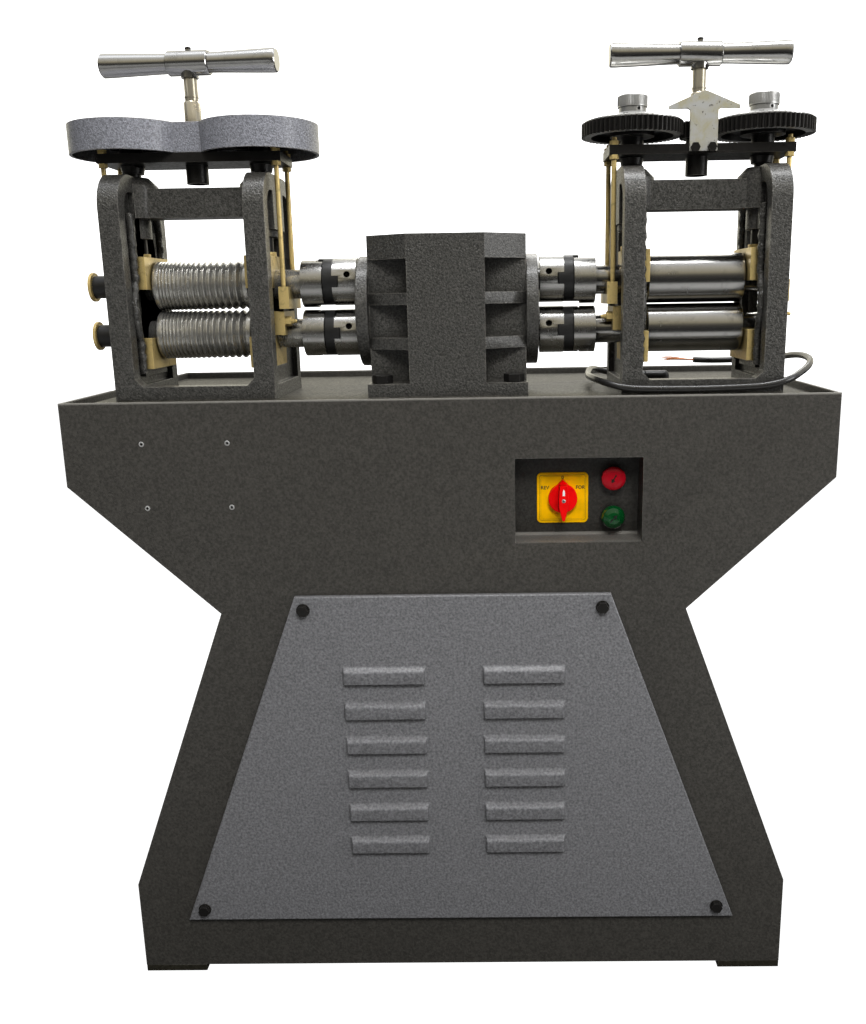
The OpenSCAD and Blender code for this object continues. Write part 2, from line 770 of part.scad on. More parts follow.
// Half bearings under the lower necks, with a keeper and an oil nipple outside each standard
module lower_bearings() {
    for (h = [-1, 1], s = [-1, 1]) at_head(h) mirror([s < 0 ? 1 : 0, 0, 0]) color(brass) {
        difference() {
            union() {
                box([bush_in, -bush_flange_w / 2, sill_z - 1], [std_in, bush_flange_w / 2, bush_low_top]);
                box([bush_in, -window_w / 2, sill_z], [std_out - web_cut, window_w / 2, bush_low_top]);
            }
            bar_x(0, 0, low_z, 2 * std_out, neck_r + running);
        }
        difference() {
            union() {
                box([keeper_in, -keeper_half, keeper_low], [keeper_in + keeper_t, keeper_half, keeper_top]);
                translate([keeper_in + keeper_t - 0.1, -keeper_half + nipple_r + 2, keeper_low + 17])
                    rotate([0, 90, 0]) hexagon(2 * nipple_r, nipple_l);
            }
            bar_x(0, 0, low_z, 2 * std_out, neck_r + running);
        }
    }
}
module upper_bushes(side) {
    for (s = [-1, 1]) at_head(side) mirror([s < 0 ? 1 : 0, 0, 0]) color(brass) difference() {
        union() {
            box([bush_in, -bush_flange_w / 2, bush_up_low], [std_in - slack, bush_flange_w / 2, bush_up_top]);
            box([bush_in, -window_w / 2 + slack, bush_up_low],
                [std_out - web_cut, window_w / 2 - slack, bush_up_top]);
            translate([gear_c, 0, bush_up_top - 1]) cylinder(h = pad_t + 1, r = pad_r);
        }
        bar_x(0, 0, up_z, 2 * std_out, neck_r + running);
    }
}

// Left edge of each wire groove, and its width
function groove_width(i) = groove_min + i * groove_grow;
function groove_start(i) = i == 0 ? 0 : groove_start(i - 1) + groove_width(i - 1) + groove_land;
function grooves_length() = groove_start(groove_count) - groove_land;
// Roll barrel along X, cut by V grooves that grow to the right when grooved is true
module roll_barrel(grooved) {
    r = roll_d / 2;
    h = roll_l / 2;
    x0 = -grooves_length() / 2;
    vees = [for (i = [0:groove_count - 1]) each [
        [x0 + groove_start(i), r], [x0 + groove_start(i) + groove_width(i) / 2, r - groove_width(i) / 2],
        [x0 + groove_start(i) + groove_width(i), r]
    ]];
    path = concat(
        [[-h, 0], [-h, r - 1], [-h + 1, r]],
        grooved ? vees : [],
        [[h - 1, r], [h, r - 1], [h, 0]]
    );
    rotate([0, 90, 0]) rotate_extrude() polygon([for (p = path) [p.y, p.x]]);
}
// A roll with its barrel, its necks and the journal for its coupling hub
module head_roll(side, grooved, z) {
    inner = head_x - roll_hub_end;
    journal = roll_hub_bore - 1;
    outer = yoke_in + yoke_t + 1;
    at_head(side) translate([0, 0, z]) union() {
        roll_barrel(grooved);
        mirror([side < 0 ? 1 : 0, 0, 0]) union() {
            bar_x(-inner, 0, 0, inner + outer, neck_r);
            bar_x(-inner - journal, 0, 0, journal + 1, journal_r);
            if (side < 0) bar_x(outer - 1, 0, 0, sleeve_l - 3, sleeve_r - 5);
        }
    }
}
module end_cap(z) {
    at_head(-1) translate([0, 0, z]) mirror([1, 0, 0]) color(black) difference() {
        union() {
            bar_x(sleeve_start, 0, 0, sleeve_l, sleeve_r);
            bar_x(sleeve_start + sleeve_l, 0, 0, sleeve_end_t, sleeve_end_r);
        }
        bar_x(sleeve_start - 1, 0, 0, sleeve_l - 3, sleeve_r - 5);
    }
}

module crosshead(side) {
    at_head(side) color(black) difference() {
        union() {
            box([-bar_l / 2, -bar_d / 2, bar_z], [bar_l / 2, bar_d / 2, bar_top]);
            translate([0, 0, bar_z - boss_below_h]) cylinder(h = boss_below_h + 1, r = boss_below_r);
        }
        translate([0, 0, bar_z - boss_below_h - 1]) cylinder(h = 100, r = stem_d / 2 + running);
        for (x = [-1, 1]) translate([x * gear_c, 0, bar_z - 1]) cylinder(h = bar_t + 2, r = screw_r + running);
        for (x = [-1, 1], y = [-1, 1])
            translate([x * rod_x, y * rod_y, bar_z - 1]) cylinder(h = bar_t + 2, r = rod_d / 2);
        if (side > 0) for (x = [-1, 1]) bar_y(x * 10, -bar_d / 2 - 1, bar_z + 6, 16, 3);
    }
}
// Two rods and a yoke that carry one upper neck from the crosshead, with their nuts
module hangers(side) {
    for (s = [-1, 1]) at_head(side) mirror([s < 0 ? 1 : 0, 0, 0]) color(brass) difference() {
        union() {
            box([yoke_in, -yoke_half, yoke_low], [yoke_in + yoke_t, yoke_half, yoke_top]);
            for (y = [-1, 1]) translate([rod_x, y * rod_y, 0]) {
                translate([0, 0, yoke_low + 5]) cylinder(h = bar_top + 9 - yoke_low - 5, r = rod_d / 2);
                translate([0, 0, bar_top]) hexagon(nut_af, nut_t);
                translate([0, 0, bar_z - nut_t]) hexagon(nut_af, nut_t);
            }
        }
        bar_x(0, 0, up_z, 2 * std_out, neck_r + running);
    }
}

function involute(a) = tan(a) * 180 / PI - a;
// Points of one tooth: involute flanks from root to tip, thinned a little for backlash
function tooth(m, z) = let (
    rp = m * z / 2, rb = rp * cos(20), ra = rp + 0.95 * m, rr = rp - 1.25 * m,
    half = 90 / z * 0.88 + involute(20), r0 = max(rb, rr),
    side = [for (k = [0:4]) let (r = r0 + (ra - r0) * k / 4) [r, half - involute(acos(min(1, rb / r)))]]
) concat([[rr, side[0].y]], side, [for (k = [4:-1:0]) [side[k].x, -side[k].y]], [[rr, -side[0].y]]);
module gear_outline(m, z) {
    polygon([for (i = [0:z - 1], p = tooth(m, z)) let (a = 360 / z * i - p.y) p.x * [cos(a), sin(a)]]);
}
module gear_blank() {
    difference() {
        union() {
            translate([0, 0, gear_low]) rotate([0, 0, 180 / gear_z])
                linear_extrude(gear_t) gear_outline(gear_m, gear_z);
            translate([0, 0, bar_top + slack]) cylinder(h = gear_lift + 1, r = gear_hub_r);
        }
        translate([0, 0, gear_low - 1]) difference() {
            cylinder(h = gear_t / 2 + 1, r = gear_m * gear_z / 2 - 10);
            translate([0, 0, -1]) cylinder(h = gear_t, r = gear_hub_r + 13);
        }
    }
}
// A screw along Z with the collar that carries the crosshead
module screw_body(top) {
    union() {
        translate([0, 0, pad_top + slack]) cylinder(h = top - pad_top - slack, r = screw_r);
        translate([0, 0, collar_z]) cylinder(h = collar_t - slack, r1 = collar_r - 1.5, r2 = collar_r);
    }
}
module left_screw(dir) {
    at_head(-1) translate([dir * gear_c, 0, 0]) color(black) union() {
        screw_body(gear_top);
        gear_blank();
    }
}
module right_screw(dir) {
    at_head(1) translate([dir * gear_c, 0, 0]) color(black) screw_body(gear_top + dial_rise);
}
module right_gear(dir) {
    at_head(1) translate([dir * gear_c, 0, 0]) color(black) difference() {
        gear_blank();
        translate([0, 0, bar_top - 1]) cylinder(h = 100, r = screw_r);
    }
}
module dial(dir) {
    r = gear_m * gear_z / 2 - 1;
    z1 = dial_base_z - slack;
    z2 = z1 + dial_rise;
    z3 = z2 + dial_neck_h;
    z4 = z3 + dial_grip_h;
    at_head(1) translate([dir * gear_c, 0, 0]) color(alloy) difference() {
        rotate_extrude() polygon([
            [screw_r, z1], [r, z1], [r, z1 + 1.5], [dial_neck_r + 3, z2 - 0.5], [dial_neck_r, z2], [dial_neck_r, z3],
            [dial_grip_r, z3], [dial_grip_r, z4 - 1], [dial_grip_r - 1, z4], [0, z4], [0, z2], [screw_r, z2]
        ]);
        rotate([0, 0, -70]) bar_x(screw_r, 0, z2 + dial_neck_h / 2, dial_neck_r, 2);
    }
}
module gear_cover_outline(w) {
    union() {
        for (x = [-1, 1]) translate([x * gear_c, 0]) circle(cover_r - w);
        square([gear_c, 2 * (cover_waist - w)], center = true);
    }
}
module left_gear_cover() {
    post_y = cover_waist - cover_post_r;
    at_head(-1) color(hammer) difference() {
        union() {
            difference() {
                translate([0, 0, bar_top]) linear_extrude(cover_h) gear_cover_outline(0);
                translate([0, 0, bar_top - 1])
                    linear_extrude(cover_h + 1 - cover_wall) gear_cover_outline(cover_wall);
            }
            for (y = [-1, 1]) translate([0, y * post_y, bar_top]) cylinder(h = cover_h - 1, r = cover_post_r);
        }
        translate([0, 0, bar_top]) cylinder(h = 2 * cover_h, r = stem_d / 2 + 1);
    }
}
// Arrow-shaped pointer plate, read against the two dials
module right_pointer() {
    z0 = bar_z + 2;
    wing_z = bar_top + 38.5;
    tip_z = bar_top + 58;
    at_head(1) color(alloy) difference() {
        front_plate(-bar_d / 2 - 4, 4) polygon([
            [-16.5, z0], [16.5, z0], [16.5, wing_z - 2], [20, wing_z], [42, wing_z - 0.5], [42, wing_z + 3],
            [3, tip_z - 0.5], [0, tip_z], [-3, tip_z - 0.5], [-42, wing_z + 3], [-42, wing_z - 0.5],
            [-20, wing_z], [-16.5, wing_z - 2]
        ]);
        for (x = [-1, 1]) bar_y(x * 10, -bar_d / 2 - 10, bar_z + 6, 20, 3);
    }
}
module pointer_bolts() {
    for (x = [-1, 1]) at_head(1) color(black) translate([x * 10, -bar_d / 2 - 4, bar_z + 6]) rotate([90, 0, 0])
    union() {
        hexagon(10, 5);
        translate([0, 0, -18]) cylinder(h = 18.5, r = 3);
    }
}
module spindle(side) {
    at_head(side) color(steel) union() {
        translate([0, 0, bar_z - boss_below_h + 2])
            cylinder(h = stem_step_z - bar_z + boss_below_h - 2, r = stem_d / 2);
        translate([0, 0, stem_step_z - 1])
            cylinder(h = tee_z - tee_hub_d / 2 - stem_step_z + 1, r = stem_top_d / 2);
        translate([0, 0, stem_step_z]) cylinder(h = 2, r1 = stem_d / 2, r2 = stem_top_d / 2 + 0.6);
        translate([0, 0, bar_top + 30 + 37]) cylinder(h = 1.2, r = stem_top_d / 2 + 0.6);
        translate([0, 0, gear_low - 3]) linear_extrude(gear_t + 3 - slack) gear_outline(gear_m, pinion_z);
        translate([0, 0, bar_top + slack]) cylinder(h = gear_low - bar_top - 2, r = stem_d / 2 + 4);
    }
}
module tee(side) {
    h = tee_hub_l / 2;
    e = tee_l / 2;
    turn = side < 0 ? left_tee_turn : 0;
    at_head(side) translate([0, 0, tee_z]) rotate([0, 0, turn]) color(steel) union() {
        for (s = [-1, 1]) rotate([0, s * 90, 0]) rotate_extrude() polygon([
            [0, 0], [tee_hub_d / 2, 0], [tee_hub_d / 2, h - 1], [tee_hub_d / 2 - 1, h], [tee_mid_d / 2, h],
            [tee_mid_d / 2 + 0.2, h + 12], [tee_end_d / 2 - 0.4, e - 22], [tee_end_d / 2, e - 8],
            [tee_end_d / 2, e - 1.5], [tee_end_d / 2 - 1.5, e], [0, e]
        ]);
        difference() {
            translate([0, 0, -tee_hub_d / 2 - 3]) cylinder(h = tee_hub_d / 2, r = stem_top_d / 2 + 2.5);
            translate([0, 0, -tee_hub_d / 2 - 4]) cylinder(h = 4, r = stem_top_d / 2);
        }
        translate([0, 0, tee_hub_d / 2 - 1]) cylinder(h = 4, r = 3.2);
    }
}

module gearbox_octagon() {
    f = box_face_w / 2;
    w = box_w / 2;
    s = box_side_d / 2;
    d = box_d / 2;
    polygon([[f, -d], [w, -s], [w, s], [f, d], [-f, d], [-w, s], [-w, -s], [-f, -d]]);
}
module gearbox_case() {
    w = box_w / 2;
    f = box_face_w / 2;
    d = box_d / 2;
    translate([0, mill_y, 0]) color(casting) difference() {
        union() {
            box([-w, -box_side_d / 2, bed_z], [w, box_side_d / 2, box_z]);
            box([-f, -d, bed_z], [f, d, box_z]);
            box([-w - 1, -d, bed_z], [w + 1, d, box_base_z]);
            translate([0, 0, box_cap_z]) linear_extrude(box_cap_t) gearbox_octagon();
            for (z = [rib_1_z, rib_2_z]) translate([0, 0, z]) linear_extrude(rib_t) gearbox_octagon();
        }
        box([-w + box_wall + 2, -box_side_d / 2 + box_wall, bed_z + box_wall],
            [w - box_wall - 2, box_side_d / 2 - box_wall, box_z - box_wall]);
        box([-f + box_wall, -d + box_wall, bed_z + box_wall], [f - box_wall, d - box_wall, box_z - box_wall]);
        for (z = [low_z, shaft_up_z]) bar_x(-w - 1, 0, z, box_w + 2, shaft_r + 10);
        bar_y(drive_x, d - box_wall - 1, worm_z, box_wall + 2, worm_shaft_r + running);
        bar_y(drive_x, -d + box_wall - 8, worm_z, 9, worm_shaft_r + running);
        for (x = [-1, 1], y = [-1, 1])
            translate([x * box_hold_x, y * box_hold_y, bed_z - 1]) cylinder(h = box_base_t + 2, r = hold_r);
    }
}
// Round end covers, each with a spigot and bush for both shafts
module gearbox_side_covers() {
    for (s = [-1, 1]) translate([0, mill_y, 0]) mirror([s < 0 ? 1 : 0, 0, 0]) color(casting) difference() {
        union() {
            bar_x(box_w / 2, 0, side_cover_z, side_cover_t, side_cover_d / 2);
            for (z = [low_z, shaft_up_z]) bar_x(box_w / 2 - box_wall, 0, z, box_wall + 1, shaft_r + 10);
        }
        for (z = [low_z, shaft_up_z]) bar_x(0, 0, z, box_w, shaft_r + running);
    }
}
module hold_down_bolts() {
    for (s = [-1, 1], x = [-1, 1], y = [-1, 1])
        at_head(s) translate([x * hold_x, y * hold_y, tray_z - tray_t - hold_head_t]) color(black) union() {
            hexagon(hold_af, hold_head_t);
            cylinder(h = hold_head_t + tray_t + bed_t + hold_deep - 1, r = hold_r);
        }
    for (x = [-1, 1], y = [-1, 1])
        translate([x * box_hold_x, mill_y + y * box_hold_y, box_base_z]) color(black) union() {
            hexagon(hold_af, hold_head_t + 1);
            translate([0, 0, -box_base_t - bed_t - tray_t - 14])
                cylinder(h = box_base_t + bed_t + tray_t + 15, r = hold_r);
            translate([0, 0, -box_base_t - bed_t - tray_t - hold_head_t]) hexagon(hold_af, hold_head_t);
        }
}

module timing_gear(z) {
    side_plate(-drive_x - 13, 27) translate([0, z]) rotate([0, 0, 90]) gear_outline(timing_m, timing_z);
}
// Through shaft with its timing gear and, on the lower one, the worm wheel
module drive_shaft(z) {
    reach = disc_start - tongue_l - slack;
    translate([0, mill_y, 0]) color(steel) union() {
        bar_x(-reach, 0, z, 2 * reach, shaft_r);
        timing_gear(z);
    }
}
module lower_drive_shaft() {
    drive_shaft(low_z);
    on_both_sides() drive_hub(low_z);
    on_both_sides() roll_hub(low_z);
    translate([0, mill_y, 0]) color(brass) bar_x(drive_x - 8, 0, low_z, 16, wheel_r - slack);
}
module upper_drive_shaft() {
    drive_shaft(shaft_up_z);
    on_both_sides() drive_hub(shaft_up_z);
}

// Hub on the gearbox side of a coupling, with a cross slot for the disc and a set-screw hole
module drive_hub(z) {
    translate([0, mill_y, z]) color(steel) difference() {
        bar_x(hub_start, 0, 0, hub_l, hub_r);
        bar_x(hub_start - 1, 0, 0, hub_l - tongue_l, shaft_r);
        box([disc_start - tongue_l - 1, -hub_r - 1, -tongue_w / 2], [disc_start + 1, hub_r + 1, tongue_w / 2]);
        bar_x(disc_start - tongue_l - 3, 0, 0, 10, shaft_r);
        translate([hub_start + 11, 0, 0]) rotate([-17, 0, 0]) bar_y(0, -hub_r - 1, 0, hub_r - 12, 4);
    }
}
// Hub on the roll side of a coupling, whose slot leaves room for the roll's lift
module roll_hub(z) {
    translate([0, mill_y, z]) color(steel) difference() {
        bar_x(roll_hub_start, 0, 0, roll_hub_l, hub_r);
        bar_x(roll_hub_end - roll_hub_bore, 0, 0, roll_hub_bore + 1, journal_r);
        box([roll_hub_start - 1, -slot_w / 2, -hub_r - 1], [roll_hub_start + slot_l, slot_w / 2, hub_r + 1]);
    }
}
// Floating disc between two hubs, with crossed tongues
module coupling_disc(z) {
    translate([0, mill_y, z]) color(black) union() {
        bar_x(disc_start, 0, 0, disc_t, hub_r - 0.5);
        intersection() {
            bar_x(disc_start - tongue_l, 0, 0, tongue_l + 1, hub_r - 0.5);
            box([disc_start - tongue_l, -hub_r, -tongue_w / 2], [disc_start + 1, hub_r, tongue_w / 2]);
        }
        intersection() {
            bar_x(disc_start + disc_t - 1, 0, 0, tongue_l + 1, hub_r - 0.5);
            box([disc_start + disc_t - 1, -tongue_w / 2, -hub_r],
                [disc_start + disc_t + tongue_l, tongue_w / 2, hub_r]);
        }
    }
}
module on_both_sides() { for (s = [0, 1]) mirror([s, 0, 0]) children(); }
module lower_coupling_discs() { on_both_sides() coupling_disc(low_z); }
module upper_coupling_discs() { on_both_sides() coupling_disc(shaft_up_z); }
module left_upper_hub() { mirror([1, 0, 0]) roll_hub(up_z); }
module right_upper_hub() { roll_hub(up_z); }

// Pulley along Y with two belt grooves
module pulley(z) {
    groove = belt_w + 2 * slack;
    deep = pulley_r - belt_h - slack;
    mid = pulley_w / 2;
    g1 = mid - belt_pitch / 2;
    g2 = mid + belt_pitch / 2;
    path = [
        [0, 0], [pulley_r, 0], [pulley_r, g1 - groove / 2], [deep, g1 - groove / 2], [deep, g1 + groove / 2],
        [pulley_r, g1 + groove / 2], [pulley_r, g2 - groove / 2], [deep, g2 - groove / 2], [deep, g2 + groove / 2],
        [pulley_r, g2 + groove / 2], [pulley_r, pulley_w], [0, pulley_w]
    ];
    translate([drive_x, pulley_y, z]) rotate([-90, 0, 0]) rotate_extrude() polygon(path);
}
module drive_belts() {
    outer = belt_r;
    inner = belt_r - belt_h;
    mid = pulley_y + pulley_w / 2;
    for (y = [-1, 1]) color(black)
        front_plate(mid + y * belt_pitch / 2 - belt_w / 2, belt_w) translate([drive_x, 0]) difference() {
            union() {
                for (z = [motor_z, worm_z]) translate([0, z]) circle(outer);
                translate([-outer, motor_z]) square([2 * outer, worm_z - motor_z]);
            }
            for (z = [motor_z, worm_z]) translate([0, z]) circle(inner);
            translate([-inner, motor_z]) square([2 * inner, worm_z - motor_z]);
        }
}
module worm_shaft() {
    d = box_d / 2;
    color(steel) union() {
        bar_y(drive_x, mill_y - d + box_wall - 7, worm_z, box_d - box_wall + 20 + pulley_w, worm_shaft_r);
        bar_y(drive_x, mill_y - 28, worm_z, 56, worm_r);
        pulley(worm_z);
    }
}
module motor_pulley() {
    color(casting) union() {
        pulley(motor_z);
        bar_y(drive_x, pulley_y, motor_z, motor_y - pulley_y + motor_shaft_in, motor_shaft_r);
    }
}
module motor_holes(z, h) {
    for (x = [-1, 1], y = motor_hole_y)
        translate([drive_x + x * motor_hole_x, motor_y + y, z]) cylinder(h = h, r = motor_hole_r);
}
module motor_plate() {
    in_x = foot_w / 2 - sheet_t;
    half_d = cab_d / 2 - sheet_t;
    color(paint) difference() {
        union() {
            box([-in_x, plate_front, shelf_z - shelf_t], [in_x, half_d, shelf_z]);
            on_both_sides() box([in_x - plate_fold_t, plate_front, shelf_z - plate_fold], [in_x, half_d, shelf_z]);
        }
        motor_holes(shelf_z - shelf_t - 1, shelf_t + 2);
    }
}
module drive_motor() {
    fin = 7;
    fins = 24;
    cowl = 50;
    color(casting) difference() {
        union() {
            bar_y(drive_x, motor_y, motor_z, motor_l - cowl, motor_r - fin);
            bar_y(drive_x, motor_y, motor_z, 14, motor_r);
            bar_y(drive_x, motor_y + motor_l - cowl, motor_z, cowl, motor_r);
            for (i = [0:fins - 1]) translate([drive_x, 0, motor_z]) rotate([0, i * 360 / fins, 0])
                box([motor_r - fin - 4, motor_y + 12, -1.5], [motor_r - 1, motor_y + motor_l - cowl + 2, 1.5]);
            for (x = [-1, 1]) translate([drive_x + x * motor_hole_x, motor_y, shelf_z]) box(
                [-motor_foot_half, motor_hole_y[0] - motor_foot_over, 0],
                [motor_foot_half, motor_hole_y[1] + motor_foot_over, motor_foot_t]);
            box([drive_x - 62, motor_y + 55, shelf_z], [drive_x + 62, motor_y + 175, motor_z - 40]);
            box([drive_x - 38, motor_y + 55, motor_z + motor_r - 14],
                [drive_x + 38, motor_y + 145, motor_z + motor_r + 34]);
        }
        bar_y(drive_x, motor_y - 1, motor_z, motor_shaft_in + 6, motor_shaft_r + running);
        motor_holes(shelf_z - 1, motor_foot_t + 6);
    }
}

// Points of a smooth curve through the route, a few to each stretch
function knot(p, i) = p[max(0, min(len(p) - 1, i))];
function spline(p, i, t) = 0.5 * (2 * knot(p, i) + (knot(p, i + 1) - knot(p, i - 1)) * t
    + (2 * knot(p, i - 1) - 5 * knot(p, i) + 4 * knot(p, i + 1) - knot(p, i + 2)) * t * t
    + (3 * knot(p, i) - knot(p, i - 1) - 3 * knot(p, i + 1) + knot(p, i + 2)) * t * t * t);
function smooth(p, n) = concat([for (i = [0:len(p) - 2], k = [0:n - 1]) spline(p, i, k / n)], [p[len(p) - 1]]);
module tube(points, r, sides) {
    n = len(points);
    dirs = [for (i = [0:n - 1]) let (d = points[min(n - 1, i + 1)] - points[max(0, i - 1)]) d / norm(d)];
    rings = [for (i = [0:n - 1]) let (
        flat = cross(dirs[i], [0, 0, 1]), u = flat / norm(flat), v = cross(u, dirs[i])
    ) each [for (k = [0:sides - 1]) points[i] + r * (cos(360 * k / sides) * u + sin(360 * k / sides) * v)]];
    walls = [for (i = [0:n - 2], k = [0:sides - 1]) let (a = i * sides + k, b = i * sides + (k + 1) % sides)
        each [[a, b, b + sides], [a, b + sides, a + sides]]];
    first = [for (k = [1:sides - 2]) [0, k + 1, k]];
    last = [for (k = [1:sides - 2]) [(n - 1) * sides, (n - 1) * sides + k, (n - 1) * sides + k + 1]];
    polyhedron(points = rings, faces = concat(walls, first, last));
}
module mains_cable() { color([0.05, 0.05, 0.05]) tube(smooth(cable_path, 2), cable_r, 10); }
// Right-angled cable outlet: a nut on the tray and a bend that turns the lead level
module cable_gland() {
    color(black) union() {
        translate([gland_x, gland_y, tray_z]) hexagon(24, 5);
        translate([gland_x, gland_y, tray_z - tray_t - 8]) cylinder(h = tray_t + 10, r = 8);
        translate([gland_x, gland_y, tray_z]) cylinder(h = gland_z - tray_z, r = 7.5);
        translate([gland_x, gland_y, gland_z]) sphere(r = 7.5);
        bar_x(gland_x - gland_reach, gland_y, gland_z, gland_reach, 7);
    }
}

cabinet_sides();
cabinet_front();
cabinet_back();
foot_plates();
tray_floor();
bed_plate();
front_cover();
cover_bolts();
control_box();
switch_plate();
switch_bodies();
switch_knob();
red_button();
green_button();
drive_motor();
motor_plate();
motor_pulley();
drive_belts();
worm_shaft();
gearbox_case();
gearbox_side_covers();
hold_down_bolts();
lower_drive_shaft();
lower_coupling_discs();
upper_drive_shaft();
upper_coupling_discs();
housing(-1);  // left_housing
housing(1);  // right_housing
lower_bearings();
color(steel) head_roll(-1, true, low_z);  // left_lower_roll
end_cap(low_z);  // left_lower_end_cap
color(steel) head_roll(-1, true, up_z);  // left_upper_roll
left_upper_hub();
end_cap(up_z);  // left_upper_end_cap
color(steel) head_roll(1, false, low_z);  // right_lower_roll
color(steel) head_roll(1, false, up_z);  // right_upper_roll
right_upper_hub();
upper_bushes(-1);  // left_upper_bushes
upper_bushes(1);  // right_upper_bushes
crosshead(-1);  // left_crosshead
crosshead(1);  // right_crosshead
hangers(-1);  // left_hangers
hangers(1);  // right_hangers
left_gear_cover();
right_pointer();
pointer_bolts();
left_screw(-1);  // left_outer_screw
left_screw(1);  // left_inner_screw
right_screw(1);  // right_outer_screw
right_screw(-1);  // right_inner_screw
right_gear(1);  // right_outer_gear
right_gear(-1);  // right_inner_gear
dial(1);  // right_outer_dial
dial(-1);  // right_inner_dial
spindle(-1);  // left_spindle
tee(-1);  // left_tee
spindle(1);  // right_spindle
tee(1);  // right_tee
mains_cable();
cable_gland();
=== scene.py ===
"""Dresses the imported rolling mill: finishes, small fittings, mains lead, stage and camera.

Everything is in metres, X to the right, Y away from the front, Z up, with the floor at zero.
"""

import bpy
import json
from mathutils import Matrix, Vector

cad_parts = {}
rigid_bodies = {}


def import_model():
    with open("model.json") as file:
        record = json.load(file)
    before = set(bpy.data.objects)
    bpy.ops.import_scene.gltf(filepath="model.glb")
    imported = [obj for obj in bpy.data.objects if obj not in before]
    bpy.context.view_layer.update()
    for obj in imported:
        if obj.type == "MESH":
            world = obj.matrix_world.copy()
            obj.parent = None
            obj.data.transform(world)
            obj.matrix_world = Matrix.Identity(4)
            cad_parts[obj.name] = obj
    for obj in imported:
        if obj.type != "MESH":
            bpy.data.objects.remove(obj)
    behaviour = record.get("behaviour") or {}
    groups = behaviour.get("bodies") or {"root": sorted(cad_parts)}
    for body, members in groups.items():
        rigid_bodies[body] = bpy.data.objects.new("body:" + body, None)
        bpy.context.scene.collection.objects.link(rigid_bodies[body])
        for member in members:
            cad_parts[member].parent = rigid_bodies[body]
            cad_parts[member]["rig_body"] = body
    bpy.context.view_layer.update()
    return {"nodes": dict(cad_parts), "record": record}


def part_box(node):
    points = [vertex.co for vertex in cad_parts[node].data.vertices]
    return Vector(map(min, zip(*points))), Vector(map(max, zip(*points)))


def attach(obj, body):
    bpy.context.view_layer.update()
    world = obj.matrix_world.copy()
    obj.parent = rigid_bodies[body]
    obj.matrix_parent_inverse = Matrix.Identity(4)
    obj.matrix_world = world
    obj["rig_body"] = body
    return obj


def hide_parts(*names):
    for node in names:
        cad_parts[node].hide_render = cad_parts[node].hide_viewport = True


bl_info = {
    "name": "Rolling Mill Dressing",
    "version": (1, 0, 0),
    "blender": (4, 5, 0),
    "location": "View3D > Sidebar > Rolling Mill",
    "description": "Builds the finishes and fittings of a jewellers rolling mill on its packed solids",
    "category": "Object",
}

import json
from math import atan2, cos, pi, radians, sin

import bmesh
import bpy
from mathutils import Matrix, Vector

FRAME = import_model()


def linear(red, green, blue):
    """A colour read off a picture, 0 to 255, as linear values."""
    return tuple(
        v / 255 / 12.92 if v <= 10 else ((v / 255 + 0.055) / 1.055) ** 2.4 for v in (red, green, blue)
    )


def middle(node):
    """Centre of a solid's box."""
    low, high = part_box(node)
    return (low + high) / 2


# Places that the fittings share, read from the solids
HEADS = {"left": middle("left_housing"), "right": middle("right_housing")}
MILL_Y = HEADS["right"].y
LOW_Z = middle("right_lower_roll").z
UP_Z = middle("right_upper_roll").z
RIM_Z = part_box("cabinet_front")[1].z
FRONT_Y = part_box("cabinet_front")[0].y
TEE_Z = 1.1893  # middle of the hand tees' bars


# ---------------------------------------------------------------- settings


def swatch(label, about, red, green, blue):
    return bpy.props.FloatVectorProperty(
        name=label, description=about, subtype="COLOR", size=3, min=0, max=1, default=linear(red, green, blue)
    )


def length(label, about, value):
    return bpy.props.FloatProperty(
        name=label, description=about, default=value, min=0, precision=5, subtype="DISTANCE", unit="LENGTH"
    )


class MillColours(bpy.types.PropertyGroup):
    cabinet: swatch("Cabinet", "Stoved paint of the cabinet", 60, 58, 54)
    cover: swatch("Front cover", "Paint of the louvred cover", 112, 112, 114)
    casting: swatch("Castings", "Hammered paint of housings and gearbox", 61, 60, 57)
    gear_cover: swatch("Gear cover", "Hammered paint of the left gear cover", 123, 124, 130)
    steel: swatch("Steel", "Polished steel of rolls, tees and hubs", 196, 195, 192)
    brass: swatch("Brass", "Bearings, yokes and rods", 222, 196, 130)
    plate: swatch("Switch plate", "Yellow of the switch plate", 244, 184, 0)
    knob: swatch("Switch knob", "Red of the rotary knob", 232, 4, 6)


class MillSizes(bpy.types.PropertyGroup):
    lead_diameter: length("Lead diameter", "Diameter of the mains lead", 0.0085)
    sheet_edge: length("Sheet edge", "Rounding of folded sheet edges", 0.0012)
    cast_edge: length("Cast edge", "Rounding of cast edges", 0.0022)
    cut_edge: length("Cut edge", "Rounding of machined edges", 0.0005)
    legend: length("Legend height", "Height of the letters on the switch plate", 0.0062)
    dial_lines: bpy.props.IntProperty(
        name="Dial lines", description="Graduation lines round each dial", default=50, min=10, max=100
    )
    core_length: length("Bare cores", "Length of copper that shows at the lead's free end", 0.048)


# ---------------------------------------------------------------- node tools


def plug(tree, socket, value):
    """Link a socket to another one, or set its value."""
    if isinstance(value, bpy.types.NodeSocket):
        tree.links.new(value, socket)
    elif socket.type == "RGBA" and len(value) == 3:
        socket.default_value = (*value, 1)
    else:
        socket.default_value = value


def put(tree, kind, inputs=(), **settings):
    """Add a shader node, set its properties, and set or link its inputs."""
    node = tree.nodes.new("ShaderNode" + kind)
    for name, value in settings.items():
        setattr(node, name, value)
    for key, value in dict(inputs).items():
        plug(tree, node.inputs[key], value)
    return node


def mix(tree, factor, first, second):
    """Two colours mixed by a factor."""
    return put(tree, "Mix", {0: factor, 6: first, 7: second}, data_type="RGBA").outputs[2]


def calc(tree, operation, first, second=0.0, clamp=False):
    return put(tree, "Math", {0: first, 1: second}, operation=operation, use_clamp=clamp).outputs[0]


